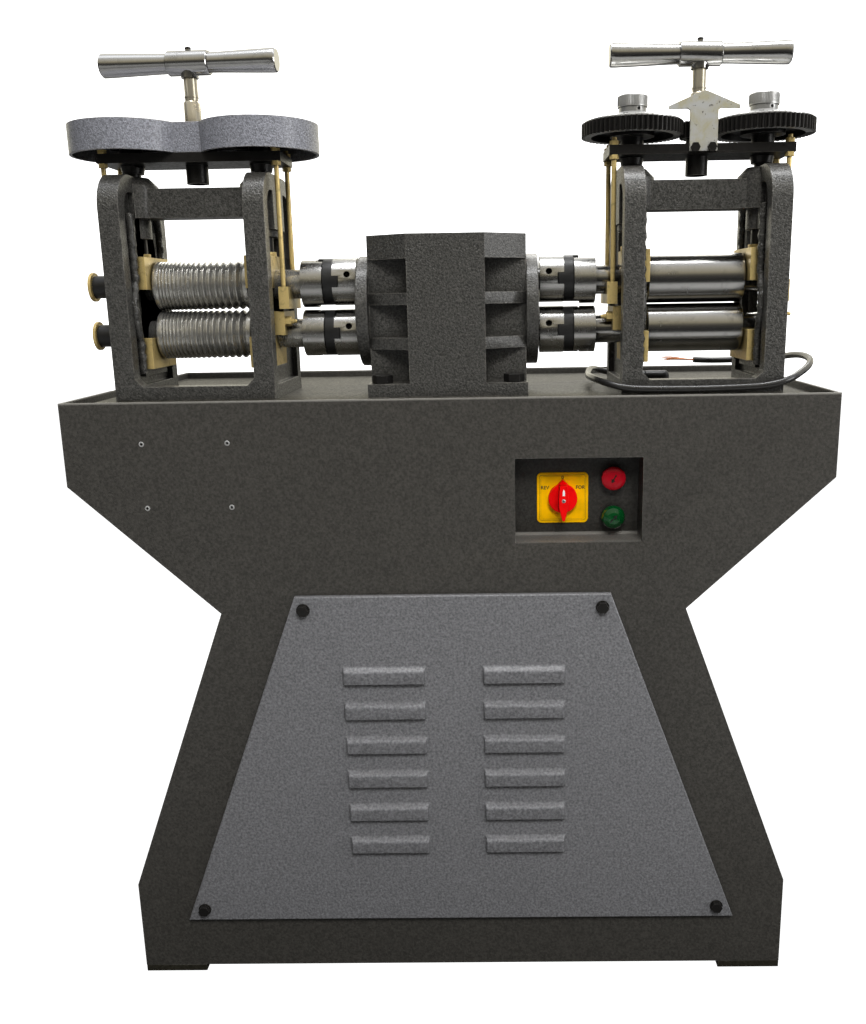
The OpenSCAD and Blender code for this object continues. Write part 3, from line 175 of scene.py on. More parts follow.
def times(tree, first, second, clamp=False):
    return calc(tree, "MULTIPLY", first, second, clamp)


def span(tree, value, low, high, to_low=0.0, to_high=1.0):
    """A value stretched from one range to another, and held inside it."""
    return put(tree, "MapRange", {0: value, 1: low, 2: high, 3: to_low, 4: to_high}).outputs[0]


def noise(tree, place, scale, detail=2.0, rough=0.5, bend=0.0):
    sockets = {"Vector": place, "Scale": scale, "Detail": detail, "Roughness": rough, "Distortion": bend}
    return put(tree, "TexNoise", sockets).outputs[0]


def object_place(tree):
    return put(tree, "TexCoord").outputs["Object"]


def start_group(name, **inputs):
    """A new node group and its inputs, each a number or a vector."""
    group = bpy.data.node_groups.new(name, "ShaderNodeTree")
    for label, value in inputs.items():
        kind = "NodeSocketVector" if isinstance(value, tuple) else "NodeSocketFloat"
        group.interface.new_socket(label, in_out="INPUT", socket_type=kind).default_value = value
    return group, group.nodes.new("NodeGroupInput").outputs


def end_group(group, **results):
    """The group, with its results as outputs."""
    for label in results:
        group.interface.new_socket(label, in_out="OUTPUT", socket_type="NodeSocketFloat")
    end = group.nodes.new("NodeGroupOutput").inputs
    for label, value in results.items():
        group.links.new(value, end[label])
    return group


def worn_edges():
    """Mask of outer edges rubbed bare, broken into patches."""
    group, given = start_group("Worn edges", Width=0.001, Patches=40.0, Amount=1.0)
    soft = put(group, "Bevel", {"Radius": given["Width"]}, samples=6).outputs[0]
    flat = put(group, "NewGeometry").outputs["Normal"]
    turned = put(group, "VectorMath", {0: soft, 1: flat}, operation="DOT_PRODUCT").outputs["Value"]
    open_air = put(group, "AmbientOcclusion", {"Distance": 0.008}, samples=6, only_local=True).outputs["AO"]
    outer = times(group, span(group, turned, 0.99, 0.88), span(group, open_air, 0.5, 0.75))
    patches = span(group, noise(group, object_place(group), given["Patches"], 4.0, 0.65), 0.38, 0.6)
    return end_group(group, Mask=times(group, times(group, outer, patches), given["Amount"], True))


def hammered_coat():
    """Lumpy enamel: a light and dark fleck, and a height."""
    group, given = start_group("Hammered coat", Scale=420.0, Contrast=1.0)
    place = object_place(group)
    grain = noise(group, place, given["Scale"], 2.0, 0.6, 0.6)
    cell_scale = times(group, given["Scale"], 0.9)
    cells = put(group, "TexVoronoi", {"Vector": place, "Scale": cell_scale}).outputs["Distance"]
    centred = calc(group, "SUBTRACT", span(group, grain, 0.38, 0.64), 0.5)
    fleck = calc(group, "ADD", times(group, centred, given["Contrast"]), 0.5, True)
    return end_group(group, Fleck=fleck, Height=calc(group, "ADD", times(group, cells, -0.6), grain))


def pebbled_coat():
    """Fine wrinkled stove enamel: a slow tone, a fine grain and its height."""
    group, given = start_group("Pebbled coat", Scale=330.0, Cloud=5.0)
    place = object_place(group)
    tone = span(group, noise(group, place, given["Cloud"], 4.0, 0.6), 0.3, 0.7)
    grain = noise(group, place, given["Scale"], 3.0, 0.6)
    return end_group(group, Tone=tone, Grain=span(group, grain, 0.35, 0.68), Height=grain)


def turned_lines():
    """Fine rings left by a lathe, round an axis through a centre."""
    group, given = start_group("Turned lines", Centre=(0.0, 0.0, 0.0), Axis=(1.0, 0.0, 0.0), Fineness=900.0)

    def vector(operation, result, sockets):
        return put(group, "VectorMath", sockets, operation=operation).outputs[result]

    out = vector("SUBTRACT", 0, {0: object_place(group), 1: given["Centre"]})
    along = vector("DOT_PRODUCT", "Value", {0: out, 1: given["Axis"]})
    shaft = vector("SCALE", 0, {0: given["Axis"], "Scale": along})
    radius = vector("LENGTH", "Value", {0: vector("SUBTRACT", 0, {0: out, 1: shaft})})
    place = put(group, "CombineXYZ", {0: along, 1: times(group, radius, 1.7)}).outputs[0]
    lines = noise(group, place, given["Fineness"], 3.0, 0.7)
    return end_group(group, Tone=span(group, lines, 0.3, 0.7), Height=lines)


def tarnish_bloom():
    """Cloudy patches of dulled metal."""
    group, given = start_group("Tarnish bloom", Scale=60.0, Amount=0.5)
    cloud = noise(group, object_place(group), given["Scale"], 5.0, 0.65, 0.8)
    low = calc(group, "SUBTRACT", 0.68, times(group, given["Amount"], 0.36))
    return end_group(group, Mask=span(group, cloud, low, calc(group, "ADD", low, 0.22)))


def settled_dust():
    """Dust on faces that look up, and painted shade that darkens corners and hollows."""
    group, given = start_group("Dust and painted corner shade", Amount=0.5, Corners=0.5)
    up = put(group, "SeparateXYZ", {0: put(group, "NewGeometry").outputs["Normal"]}).outputs[2]
    patches = span(group, noise(group, object_place(group), 35.0, 4.0, 0.6), 0.35, 0.7)
    dust = times(group, times(group, span(group, up, 0.6, 1.0), patches), given["Amount"])
    open_air = put(group, "AmbientOcclusion", {"Distance": 0.02}, samples=6).outputs["AO"]
    # Painted shade: darker where the open-air test finds surfaces close by, in corners and hollows.
    dust_and_shade = times(group, span(group, open_air, 0.85, 0.35), given["Corners"])
    return end_group(group, Dust=dust, Grime=dust_and_shade)


GROUPS = {}


def use(tree, maker, **values):
    """Place a shared group in a material, with its own values."""
    if maker.__name__ not in GROUPS:
        GROUPS[maker.__name__] = maker()
    node = tree.nodes.new("ShaderNodeGroup")
    node.node_tree = GROUPS[maker.__name__]
    for name, value in values.items():
        node.inputs[name].default_value = value
    return node.outputs


def bump(tree, height, distance, strength):
    return put(tree, "Bump", {"Height": height, "Distance": distance, "Strength": strength}).outputs[0]


def start_material(name):
    material = bpy.data.materials.new(name)
    material.use_nodes = True
    return material, material.node_tree


def shaded(material, **values):
    """Set or link the sockets of the material's shader. Underscores stand for spaces."""
    shader = material.node_tree.nodes["Principled BSDF"]
    for name, value in values.items():
        plug(material.node_tree, shader.inputs[name.replace("_", " ")], value)
    return material


def shade(colour, amount):
    return tuple(min(1, c * amount) for c in colour)


# ---------------------------------------------------------------- finishes


def stove_enamel(name, colour, gloss=0.5, bare=0.6, rim=None, sheen=0.5):
    """Fine textured paint on sheet steel, rubbed bright along its edges, most of all at the rim's height, where a
    painted highlight line also runs.
    """
    material, tree = start_material(name)
    coat = use(tree, pebbled_coat)
    tone = mix(tree, coat["Tone"], shade(colour, 0.86), shade(colour, 1.13))
    tone = mix(tree, coat["Grain"], shade(colour, 0.64), mix(tree, 0.6, tone, shade(colour, 1.6)))
    dust_and_shade = use(tree, settled_dust, Amount=0.35, Corners=0.8)
    # Painted shade: corners and hollows darkened towards a third of the colour.
    tone = mix(tree, times(tree, dust_and_shade["Grime"], 0.5), tone, shade(colour, 0.35))
    tone = mix(tree, times(tree, dust_and_shade["Dust"], 0.4), tone, linear(132, 126, 116))
    edge = use(tree, worn_edges, Width=0.0016, Patches=22.0, Amount=bare)["Mask"]
    # At this height the rubbed edges keep full strength, a quarter elsewhere, and a pale line is laid along it as a
    # painted highlight.
    if rim is not None:
        height = put(tree, "SeparateXYZ", {0: object_place(tree)}).outputs[2]
        near = calc(tree, "ABSOLUTE", calc(tree, "SUBTRACT", height, rim))
        edge = times(tree, edge, span(tree, near, 0.004, 0.001, 0.25, 1.0))
        tone = mix(tree, span(tree, near, 0.0026, 0.0012, 0.0, 0.6), tone, linear(150, 147, 140))
    return shaded(
        material,
        Base_Color=mix(tree, edge, tone, linear(176, 174, 168)),
        Metallic=times(tree, edge, 0.8),
        Roughness=span(tree, coat["Grain"], 0.0, 1.0, gloss + 0.1, gloss - 0.08),
        Normal=bump(tree, coat["Height"], 0.0006, 0.8),
        Specular_IOR_Level=sheen,
        Coat_Weight=0.24 * sheen,
        Coat_Roughness=0.35,
    )


def hammer_enamel(name, colour, scale, contrast, depth=0.0011, rough=0.36, bare=0.5):
    """Hammered paint on cast iron, flecked dark and light, with glossy lumps."""
    material, tree = start_material(name)
    coat = use(tree, hammered_coat, Scale=scale, Contrast=contrast)
    cloud = use(tree, pebbled_coat, Cloud=9.0)
    tone = mix(tree, coat["Fleck"], shade(colour, 0.42), shade(colour, 1.72))
    tone = mix(tree, times(tree, cloud["Tone"], 0.35), tone, shade(colour, 0.7))
    dust_and_shade = use(tree, settled_dust, Amount=0.4, Corners=0.9)
    # Painted shade: corners and hollows darkened towards a quarter of the colour.
    tone = mix(tree, times(tree, dust_and_shade["Grime"], 0.85), tone, shade(colour, 0.25))
    tone = mix(tree, times(tree, dust_and_shade["Dust"], 0.3), tone, linear(140, 132, 120))
    edge = use(tree, worn_edges, Width=0.0022, Patches=70.0, Amount=bare)["Mask"]
    return shaded(
        material,
        Base_Color=mix(tree, times(tree, edge, 0.8), tone, linear(165, 160, 150)),
        Metallic=times(tree, edge, 0.5),
        Roughness=span(tree, coat["Fleck"], 0.0, 1.0, rough + 0.14, rough - 0.06),
        Normal=bump(tree, coat["Height"], depth, 0.8),
        Coat_Weight=0.35,
        Coat_Roughness=0.22,
    )


def turned_metal(
    name, colour, centre=(0, 0, 0), axis=(1, 0, 0), rough=0.2, lines=0.5, tint=None, stain=0.35, metal=1.0
):
    """Turned or ground metal, with rings round an axis and cloudy stains."""
    material, tree = start_material(name)
    ring = use(tree, turned_lines, Centre=tuple(centre), Axis=axis, Fineness=1100.0)
    bloom = use(tree, tarnish_bloom, Scale=42.0, Amount=stain)["Mask"]
    tone = mix(tree, times(tree, ring["Tone"], 0.3), colour, shade(colour, 0.6))
    tone = mix(tree, times(tree, bloom, 0.55), tone, tint or shade(colour, 0.45))
    # Painted shade: corners and hollows darkened almost to black.
    dust_and_shade = use(tree, settled_dust, Amount=0.0, Corners=0.8)["Grime"]
    dull = calc(tree, "ADD", times(tree, bloom, 0.16), rough)
    return shaded(
        material,
        Base_Color=mix(tree, dust_and_shade, tone, shade(colour, 0.12)),
        Metallic=metal,
        Roughness=calc(tree, "ADD", dull, times(tree, ring["Tone"], 0.08)),
        Normal=bump(tree, ring["Height"], 0.00006, lines),
    )


def tarnished_brass(name, colour, rough=0.32):
    """Bronze, brass or copper with dull patches, painted shade in corners and bright edges."""
    material, tree = start_material(name)
    bloom = use(tree, tarnish_bloom, Scale=90.0, Amount=0.45)["Mask"]
    streak = noise(tree, object_place(tree), 700.0, 4.0, 0.7)
    dust_and_shade = use(tree, settled_dust, Amount=0.0, Corners=1.0)["Grime"]
    tone = mix(tree, bloom, colour, shade(colour, 0.55))
    # Painted shade: corners and hollows darkened almost to black.
    tone = mix(tree, times(tree, dust_and_shade, 0.85), tone, shade(colour, 0.08))
    edge = use(tree, worn_edges, Width=0.0008, Patches=60.0, Amount=0.8)["Mask"]
    return shaded(
        material,
        Base_Color=mix(tree, edge, tone, shade(colour, 1.35)),
        Metallic=0.45,
        Roughness=calc(tree, "ADD", times(tree, bloom, 0.2), rough),
        Normal=bump(tree, streak, 0.00012, 0.5),
    )


def black_oxide(name, colour):
    """Blackened steel, oily, with rubbed edges."""
    material, tree = start_material(name)
    grain = noise(tree, object_place(tree), 260.0, 4.0, 0.6)
    edge = use(tree, worn_edges, Width=0.0009, Patches=50.0, Amount=0.45)["Mask"]
    bloom = use(tree, tarnish_bloom, Scale=35.0, Amount=0.4)["Mask"]
    tone = mix(tree, times(tree, bloom, 0.5), colour, shade(colour, 2.2))
    return shaded(
        material,
        Base_Color=mix(tree, edge, tone, linear(120, 116, 108)),
        Metallic=0.55,
        Roughness=span(tree, grain, 0.3, 0.7, 0.26, 0.46),
        Normal=bump(tree, grain, 0.00015, 0.5),
    )


def moulded(name, colour, rough=0.35, grain=900.0, depth=0.00004, coat=0.0, sheen=0.5):
    """Moulded plastic or rubber, a little uneven."""
    material, tree = start_material(name)
    fine = noise(tree, object_place(tree), grain, 3.0, 0.6)
    slow = noise(tree, object_place(tree), 45.0, 3.0, 0.5)
    return shaded(
        material,
        Base_Color=mix(tree, span(tree, slow, 0.35, 0.65), shade(colour, 0.82), shade(colour, 1.1)),
        Roughness=span(tree, slow, 0.3, 0.7, rough - 0.06, rough + 0.08),
        Normal=bump(tree, fine, depth, 0.6),
        Specular_IOR_Level=sheen,
        Coat_Weight=coat,
        Coat_Roughness=0.08,
    )


def brushed_plate(name, colour):
    """Sheet aluminium brushed upright, stained yellow where the film was."""
    material, tree = start_material(name)
    flat = put(tree, "Mapping", {"Vector": object_place(tree), "Scale": (1.0, 1.0, 0.06)}).outputs[0]
    brush = noise(tree, flat, 1500.0, 3.0, 0.7)
    bloom = use(tree, tarnish_bloom, Scale=48.0, Amount=0.75)["Mask"]
    spots = span(tree, noise(tree, object_place(tree), 230.0, 2.0, 0.5), 0.66, 0.72)
    tone = mix(tree, times(tree, bloom, 0.8), colour, linear(176, 168, 132))
    tone = mix(tree, spots, tone, linear(84, 80, 72))
    return shaded(
        material,
        Base_Color=mix(tree, times(tree, brush, 0.35), tone, shade(colour, 0.55)),
        Metallic=0.4,
        Roughness=span(tree, brush, 0.3, 0.7, 0.36, 0.5),
        Normal=bump(tree, brush, 0.00008, 0.5),
    )


FINISHES = {}


def finish(name):
    """The named finish, made once."""
    if name not in FINISHES:
        maker, label, colour, *rest = finish_table()[name]
        FINISHES[name] = maker(label, tuple(colour), *rest)
    return FINISHES[name]


def finish_table():
    """Each finish by name: its maker, its material's name, its colour and what else the maker takes."""
    paint = bpy.context.scene.mill_colours
    low, high, tee = (0, MILL_Y, LOW_Z), (0, MILL_Y, UP_Z), (0, MILL_Y, TEE_Z)
    across, inward, upright = (1, 0, 0), (0, 1, 0), (0, 0, 1)
    warm, grooved = linear(168, 148, 108), linear(208, 206, 199)
    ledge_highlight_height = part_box("control_box")[0].z + 0.01
    table = {
        "cabinet": (stove_enamel, "Cabinet enamel", paint.cabinet, 0.5, 0.9, RIM_Z),
        # Recess: the cabinet's colour darkened to 0.6 as painted shade inside it, with a painted highlight line at
        # the ledge height.
        "recess": (stove_enamel, "Recess enamel", shade(paint.cabinet, 0.6), 0.45, 1.0, ledge_highlight_height),
        "tray": (stove_enamel, "Tray enamel", linear(44, 42, 34), 0.5, 0.5, None, 0.2),
        "cover": (stove_enamel, "Cover enamel", paint.cover, 0.46, 0.85),
        "casting": (hammer_enamel, "Casting enamel", paint.casting, 430.0, 1.0),
        "hollow": (moulded, "Smooth casting enamel", linear(50, 49, 46), 0.26, 300.0, 0.00012, 0.4),
        "bead": (hammer_enamel, "Bead enamel", shade(paint.casting, 0.9), 380.0, 0.9, 0.0016, 0.18, 0.3),
        "gear cover": (hammer_enamel, "Gear cover enamel", paint.gear_cover, 500.0, 0.7, 0.0008, 0.3, 1.0),
        "lower roll": (turned_metal, "Lower roll steel", paint.steel, low, across, 0.14, 0.7),
        "upper roll": (turned_metal, "Upper roll steel", paint.steel, high, across, 0.14, 0.7),
        "lower grooves": (turned_metal, "Grooved lower steel", grooved, low, across, 0.22, 0.7, None, 0.35, 0.85),
        "upper grooves": (turned_metal, "Grooved upper steel", grooved, high, across, 0.22, 0.7, None, 0.35, 0.85),
        "shaft": (turned_metal, "Coupling steel", paint.steel, low, across, 0.2, 0.8),
        "tee": (turned_metal, "Tee steel", paint.steel, tee, across, 0.12, 0.4),
        "brassy": (turned_metal, "Oiled screw steel", linear(178, 158, 118), (0, 0, 0), across, 0.24, 0.5, warm),
        "alloy": (turned_metal, "Plain alloy", linear(205, 205, 203), (0, 0, 0), across, 0.3, 0.5, None, 0.35, 0.6),
        "iron": (turned_metal, "Machined iron", linear(120, 120, 120), (0, 0, 0), inward, 0.4, 1.0),
        "brass": (tarnished_brass, "Tarnished brass", paint.brass),
        "copper": (tarnished_brass, "Bright copper", linear(222, 132, 66), 0.22),
        "pointer": (brushed_plate, "Brushed pointer", linear(184, 184, 180)),
        "black": (black_oxide, "Black oxide", (0.018, 0.017, 0.016)),
        "motor": (hammer_enamel, "Motor enamel", linear(88, 94, 100), 700.0, 0.4, 0.0004),
        "polymer": (moulded, "Black polymer", (0.013, 0.013, 0.013), 0.42),
        "black plastic": (moulded, "Black plastic", (0.012, 0.012, 0.012), 0.4),
        "rubber": (moulded, "Lead rubber", (0.016, 0.0155, 0.015), 0.3, 600.0, 0.0001, 0.25),
        "belt": (moulded, "Belt rubber", (0.012, 0.012, 0.012), 0.65, 500.0, 0.0002),
        "yellow": (moulded, "Yellow plate", paint.plate, 0.4, 700.0, 0.00003, 0.0, 0.12),
        "red": (moulded, "Red plastic", paint.knob, 0.35, 800.0, 0.00003, 0.0, 0.2),
        "red lens": (moulded, "Red lens", linear(172, 14, 30), 0.25, 500.0, 0.00003, 0.15, 0.2),
        "green lens": (moulded, "Green lens", linear(2, 62, 24), 0.16, 500.0, 0.00003, 0.5, 0.3),
        "ink": (moulded, "Black ink", (0.01, 0.01, 0.01), 0.5),
        "white ink": (moulded, "White ink", linear(240, 240, 238), 0.4),
        "arrow ink": (moulded, "Arrow ink", (0.008, 0.012, 0.008), 0.4),
    }
    for place in ("outer", "inner"):
        centre = middle("right_%s_dial" % place)
        table["dial " + place] = (
            turned_metal, "Turned alloy " + place, linear(208, 208, 206), centre, upright, 0.3, 0.8, None, 0.35, 0.8
        )
    for side, head in HEADS.items():
        table["spindle " + side] = (
            turned_metal, "Oiled spindle " + side, linear(192, 184, 164), head, upright, 0.16, 0.4, warm, 0.3, 0.7
        )
    return table


# ---------------------------------------------------------------- pieces


def make_piece(name, bm, surface, body, slot, angle=32):
    """A finished mesh as a piece: smooth, closed, facing out, on its body."""
    bmesh.ops.recalc_face_normals(bm, faces=bm.faces[:])
    mesh = bpy.data.meshes.new(name)
    bm.to_mesh(mesh)
    bm.free()
    for each in surface if isinstance(surface, list) else [surface]:
        mesh.materials.append(finish(each))
    mesh.shade_smooth()
    mesh.set_sharp_from_angle(angle=radians(angle))
    piece = bpy.data.objects.new(name, mesh)
    bpy.context.scene.collection.objects.link(piece)
    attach(piece, body)
    return piece


def slot_of(node):
    return next(row["material_slot"] for row in FRAME["record"]["subparts"] if row["node"] == node)


def finished(node, surface, edge=0.0005, segments=2, pick=None, angle=30):
    """A solid with merged faces, rounded edges and its finish, in place of the plain one.
    pick gives the number of the finish for a face from its middle and normal."""
    solid = FRAME["nodes"][node]
    bm = bmesh.new()
    bm.from_mesh(solid.data)
    bmesh.ops.remove_doubles(bm, verts=bm.verts[:], dist=1e-6)
    bmesh.ops.dissolve_limit(bm, angle_limit=radians(0.5), verts=bm.verts[:], edges=bm.edges[:])
    for face in bm.faces:
        face.material_index = pick(face.calc_center_median(), face.normal) if pick else 0
    piece = make_piece(node + "_finished", bm, surface, solid["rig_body"], slot_of(node), angle)
    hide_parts(node)
    if edge:
        rounding = piece.modifiers.new("Rounded edges", "BEVEL")
        rounding.width = edge
        rounding.segments = segments
        rounding.limit_method = "ANGLE"
        rounding.angle_limit = radians(angle)
        rounding.harden_normals = True
        rounding.miter_outer = "MITER_ARC"


def soften(bm, edges, offset, segments):
    """Round some edges of a mesh in the making."""
    bmesh.ops.bevel(
        bm, geom=edges, offset=offset, segments=segments, profile=0.5, affect="EDGES", material=-1,
        clamp_overlap=True,
    )


def add_lathe(bm, outline, centre, axis=(0, 0, 1), steps=48):
    """Spin an outline of (radius, height) pairs round an axis; its ends close on the axis."""
    before = set(bm.verts)
    made = [bm.verts.new((r, 0, z)) for r, z in outline]
    wires = [bm.edges.new(pair) for pair in zip(made, made[1:])]
    bmesh.ops.spin(
        bm, geom=made + wires, cent=(0, 0, 0), axis=(0, 0, 1), angle=2 * pi, steps=steps, use_merge=True
    )
    bmesh.ops.remove_doubles(bm, verts=[v for v in bm.verts if v not in before], dist=1e-6)
    turn = Vector((0, 0, 1)).rotation_difference(Vector(axis)).to_matrix().to_4x4()
    fresh = [v for v in bm.verts if v not in before]
    bmesh.ops.transform(bm, matrix=Matrix.Translation(centre) @ turn, verts=fresh)


def add_box(bm, matrix, size):
    bmesh.ops.create_cube(bm, size=1, matrix=matrix @ Matrix.Diagonal((*size, 1)))


def add_prism(bm, outline, thick, matrix, bevel):
    """Extrude a flat outline along Z, round its upper edges and put it in place."""
    before = set(bm.verts)
    face = bm.faces.new([bm.verts.new((x, y, 0)) for x, y in outline])
    grown = bmesh.ops.extrude_face_region(bm, geom=[face])["geom"]
    bmesh.ops.translate(bm, verts=[v for v in grown if isinstance(v, bmesh.types.BMVert)], vec=(0, 0, thick))
    soften(bm, [e for e in grown if isinstance(e, bmesh.types.BMEdge)], bevel, 2)
    bmesh.ops.transform(bm, matrix=matrix, verts=[v for v in bm.verts if v not in before])


def add_words(bm, words, size, matrix, thick):
    """Raised letters, centred, in the XY plane of the matrix."""
    data = bpy.data.curves.new("words", "FONT")
    data.body, data.size, data.extrude, data.offset = words, size, thick, size * 0.02
    data.align_x = data.align_y = "CENTER"
    data.resolution_u = 3
    shape = bpy.data.objects.new("words", data)
    bpy.context.scene.collection.objects.link(shape)
    bpy.context.view_layer.update()
    mesh = bpy.data.meshes.new_from_object(shape.evaluated_get(bpy.context.evaluated_depsgraph_get()))
    mesh.transform(matrix)
    bm.from_mesh(mesh)
    bpy.data.objects.remove(shape)
    bpy.data.curves.remove(data)
    bpy.data.meshes.remove(mesh)
    bmesh.ops.remove_doubles(bm, verts=bm.verts[:], dist=1e-7)


def facing_front(x, y, z):
    """Matrix of a plate's face that looks at the front: its X is across, its Y is up, its Z comes out."""
    return Matrix.Translation((x, y, z)) @ Matrix.Rotation(pi / 2, 4, "X")


# ---------------------------------------------------------------- mains lead

# Route of the lead in metres, as it lies in the tray round the right head
LEAD_ROUTE = [
    (0.273, -0.01, 0.7946), (0.25, -0.01, 0.7954), (0.233, -0.0105, 0.7976), (0.218, -0.014, 0.801),
    (0.206, -0.021, 0.8044), (0.197, -0.032, 0.8068), (0.1915, -0.046, 0.8078), (0.1875, -0.064, 0.8074),
    (0.1845, -0.084, 0.8062), (0.182, -0.106, 0.8052), (0.18, -0.13, 0.8054), (0.1788, -0.155, 0.8063),
    (0.1794, -0.178, 0.8068), (0.182, -0.196, 0.8063), (0.1865, -0.211, 0.8052), (0.193, -0.224, 0.8034),
    (0.201, -0.2335, 0.8014), (0.211, -0.2398, 0.7992), (0.223, -0.242, 0.7977), (0.238, -0.242, 0.797),
    (0.255, -0.2415, 0.7965), (0.311, -0.241, 0.7962), (0.369, -0.241, 0.7979), (0.388, -0.2416, 0.7999),
    (0.403, -0.2404, 0.803), (0.418, -0.233, 0.8074), (0.4315, -0.217, 0.8118), (0.443, -0.201, 0.8157),
    (0.452, -0.185, 0.8195), (0.459, -0.166, 0.823), (0.4625, -0.145, 0.8255), (0.463, -0.124, 0.8266),
    (0.4616, -0.104, 0.8265), (0.4596, -0.084, 0.8251), (0.457, -0.065, 0.823), (0.452, -0.045, 0.8206),
    (0.443, -0.024, 0.8182), (0.429, -0.004, 0.8158), (0.411, 0.011, 0.814), (0.391, 0.019, 0.813),
    (0.37, 0.0215, 0.813), (0.348, 0.02, 0.814),
]


def smooth_run(points, steps):
    """A smooth line through the points, with some steps to each stretch."""
    knots = [Vector(p) for p in points]
    ends = [knots[0], *knots, knots[-1]]
    run = []
    for a, b, c, d in zip(ends, ends[1:], ends[2:], ends[3:]):
        for t in [k / steps for k in range(steps)]:
            curved = (2 * a - 5 * b + 4 * c - d) * t * t + (3 * b - a - 3 * c + d) * t**3
            run.append(0.5 * (2 * b + (c - a) * t + curved))
    return [*run, knots[-1]]


def add_tube(bm, run, radii, sides):
    """Round tube along a run of points, with a radius at each, capped at both ends."""
    last = len(run) - 1
    behind = []
    for i, (point, radius) in enumerate(zip(run, radii)):
        ahead = (run[min(i + 1, last)] - run[max(i - 1, 0)]).normalized()
        turn = ahead.to_track_quat("Z", "Y").to_matrix().to_4x4()
        ring = bmesh.ops.create_circle(
            bm, segments=sides, radius=radius, cap_ends=i in (0, last), matrix=Matrix.Translation(point) @ turn
        )["verts"]
        edges = list({e for v in ring for e in v.link_edges if e.other_vert(v) in ring})
        if behind:
            bmesh.ops.bridge_loops(bm, edges=behind + edges)
        behind = edges


class MILL_OT_lead(bpy.types.Operator):
    """Mains lead that leaves its outlet behind the right head, runs round it and ends bare"""

    bl_idname = "mill.lead"
    bl_label = "Mains lead"

    def execute(self, context):
        sizes = context.scene.mill_sizes
        run = smooth_run(LEAD_ROUTE, 6)
        data = bpy.data.curves.new("mains_lead", "CURVE")
        data.dimensions = "3D"
        data.bevel_depth = sizes.lead_diameter / 2
        data.bevel_resolution = 5
        data.use_fill_caps = True
        line = data.splines.new("POLY")
        line.points.add(len(run) - 1)
        for knot, place in zip(line.points, run):
            knot.co = (*place, 1)
        line.use_smooth = True
        data.materials.append(finish("rubber"))
        lead = bpy.data.objects.new("mains_lead", data)
        context.scene.collection.objects.link(lead)
        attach(lead, "machine")
        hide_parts("mains_cable")
        cores = self.bare_cores(sizes, run)
        relief = self.strain_relief(sizes, run)
        total = sum((b - a).length for a, b in zip(run, run[1:]))
        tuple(LEAD_ROUTE[0])
        return {"FINISHED"}

    def bare_cores(self, sizes, run):
        """Three bundles of copper strands fanned out from the sheath's end."""
        tip, ahead, up = run[-1], (run[-1] - run[-3]).normalized(), Vector((0, 0, 1))
        side = ahead.cross(up).normalized()
        bm = bmesh.new()
        for k, (spread, rise) in enumerate(((-0.9, 0.25), (0.1, 0.75), (1.0, -0.1))):
            for strand in range(5):
                turn = strand * 2 * pi / 5 + k
                off = (side * cos(turn) + up * sin(turn)) * 0.0007
                reach = sizes.core_length * (0.86 + 0.035 * ((strand * 3 + k) % 5))
                # Knots of a strand: how far it is ahead, how loose, how far to the side and how high
                knots = (
                    (-0.002, 1, 0.0016, 0), (reach * 0.3, 1, 0.003, rise * 0.001),
                    (reach * 0.68, 1.6, 0.0065, rise * 0.003), (reach, 2.6, 0.010, rise * 0.004 - 0.001),
                )
                path = [tip + ahead * far + off * loose + side * spread * out + up * high
                        for far, loose, out, high in knots]
                strand_run = smooth_run(path, 3)
                add_tube(bm, strand_run, [0.00042] * len(strand_run), 6)
        return make_piece("lead_copper_cores", bm, "copper", "machine", "bronze")

    def strain_relief(self, sizes, run):
        """Tapered ribbed sleeve where the lead leaves its outlet."""
        radius = sizes.lead_diameter / 2
        outline = [(radius + 0.0002, 0.0)]
        for rib in range(6):
            outer = radius + 0.0026 - rib * 0.00038
            height = 0.001 + rib * 0.0046
            outline += [(outer, height), (outer - 0.0002, height + 0.003), (outer - 0.0009, height + 0.0034),
                        (outer - 0.0009, height + 0.0042)]
        outline += [(radius + 0.0003, 0.0295), (radius + 0.0001, 0.0295)]
        bm = bmesh.new()
        add_lathe(bm, outline, run[0], run[3] - run[0], 24)
        return make_piece("lead_strain_relief", bm, "black plastic", "machine", "black_plastic", 50)


# ---------------------------------------------------------------- groups of pieces

CORNERS = ((-1, -1), (-1, 1), (1, -1), (1, 1))

# Camera at the picture's place: where it is, and the directions of its right, top and view
CAMERA_PLACE = (0.05899, -1.41185, 0.90628)
CAMERA_RIGHT = Vector((0.99983937, 0.00944683, -0.01523135))
CAMERA_UP = Vector((0.01270854, 0.22557786, 0.97414225))
CAMERA_AHEAD = Vector((-0.01263841, 0.97417934, -0.22542157))

# Two columns of louvres: middle and half width of a louvre, half its height, and the height of each row
LOUVRE_X, LOUVRE_WIDE, LOUVRE_HIGH = 0.0895, 0.0525, 0.0105
LOUVRE_ROWS = [0.439 - i * 0.0479 for i in range(6)]

# Outlines of small turned parts, as pairs of radius and height
HOLE_RING = [(0.0017, -0.001), (0.0017, 0.0003), (0.0029, 0.0003), (0.0033, 0.0), (0.0033, -0.001), (0.0017, -0.001)]
KNOB_SCREW = [(0, 0.0008), (0.0016, 0.0008), (0.0024, 0.0002), (0.0026, -0.0006), (0, -0.0006)]
NIPPLE_TIP = [(0, 0.0068), (0.0017, 0.0062), (0.0024, 0.0045), (0.0020, 0.0030), (0.0034, 0.0016),
              (0.0034, -0.0004), (0, -0.0004)]
HUB_SCREW = [(0, 0.0012), (0.0022, 0.0010), (0.0036, 0.0002), (0.0038, -0.0016), (0, -0.0016)]
SET_SCREW = [(0, 0.0014), (0.0018, 0.0012), (0.0024, 0.0004), (0.0024, -0.0020), (0, -0.0020)]

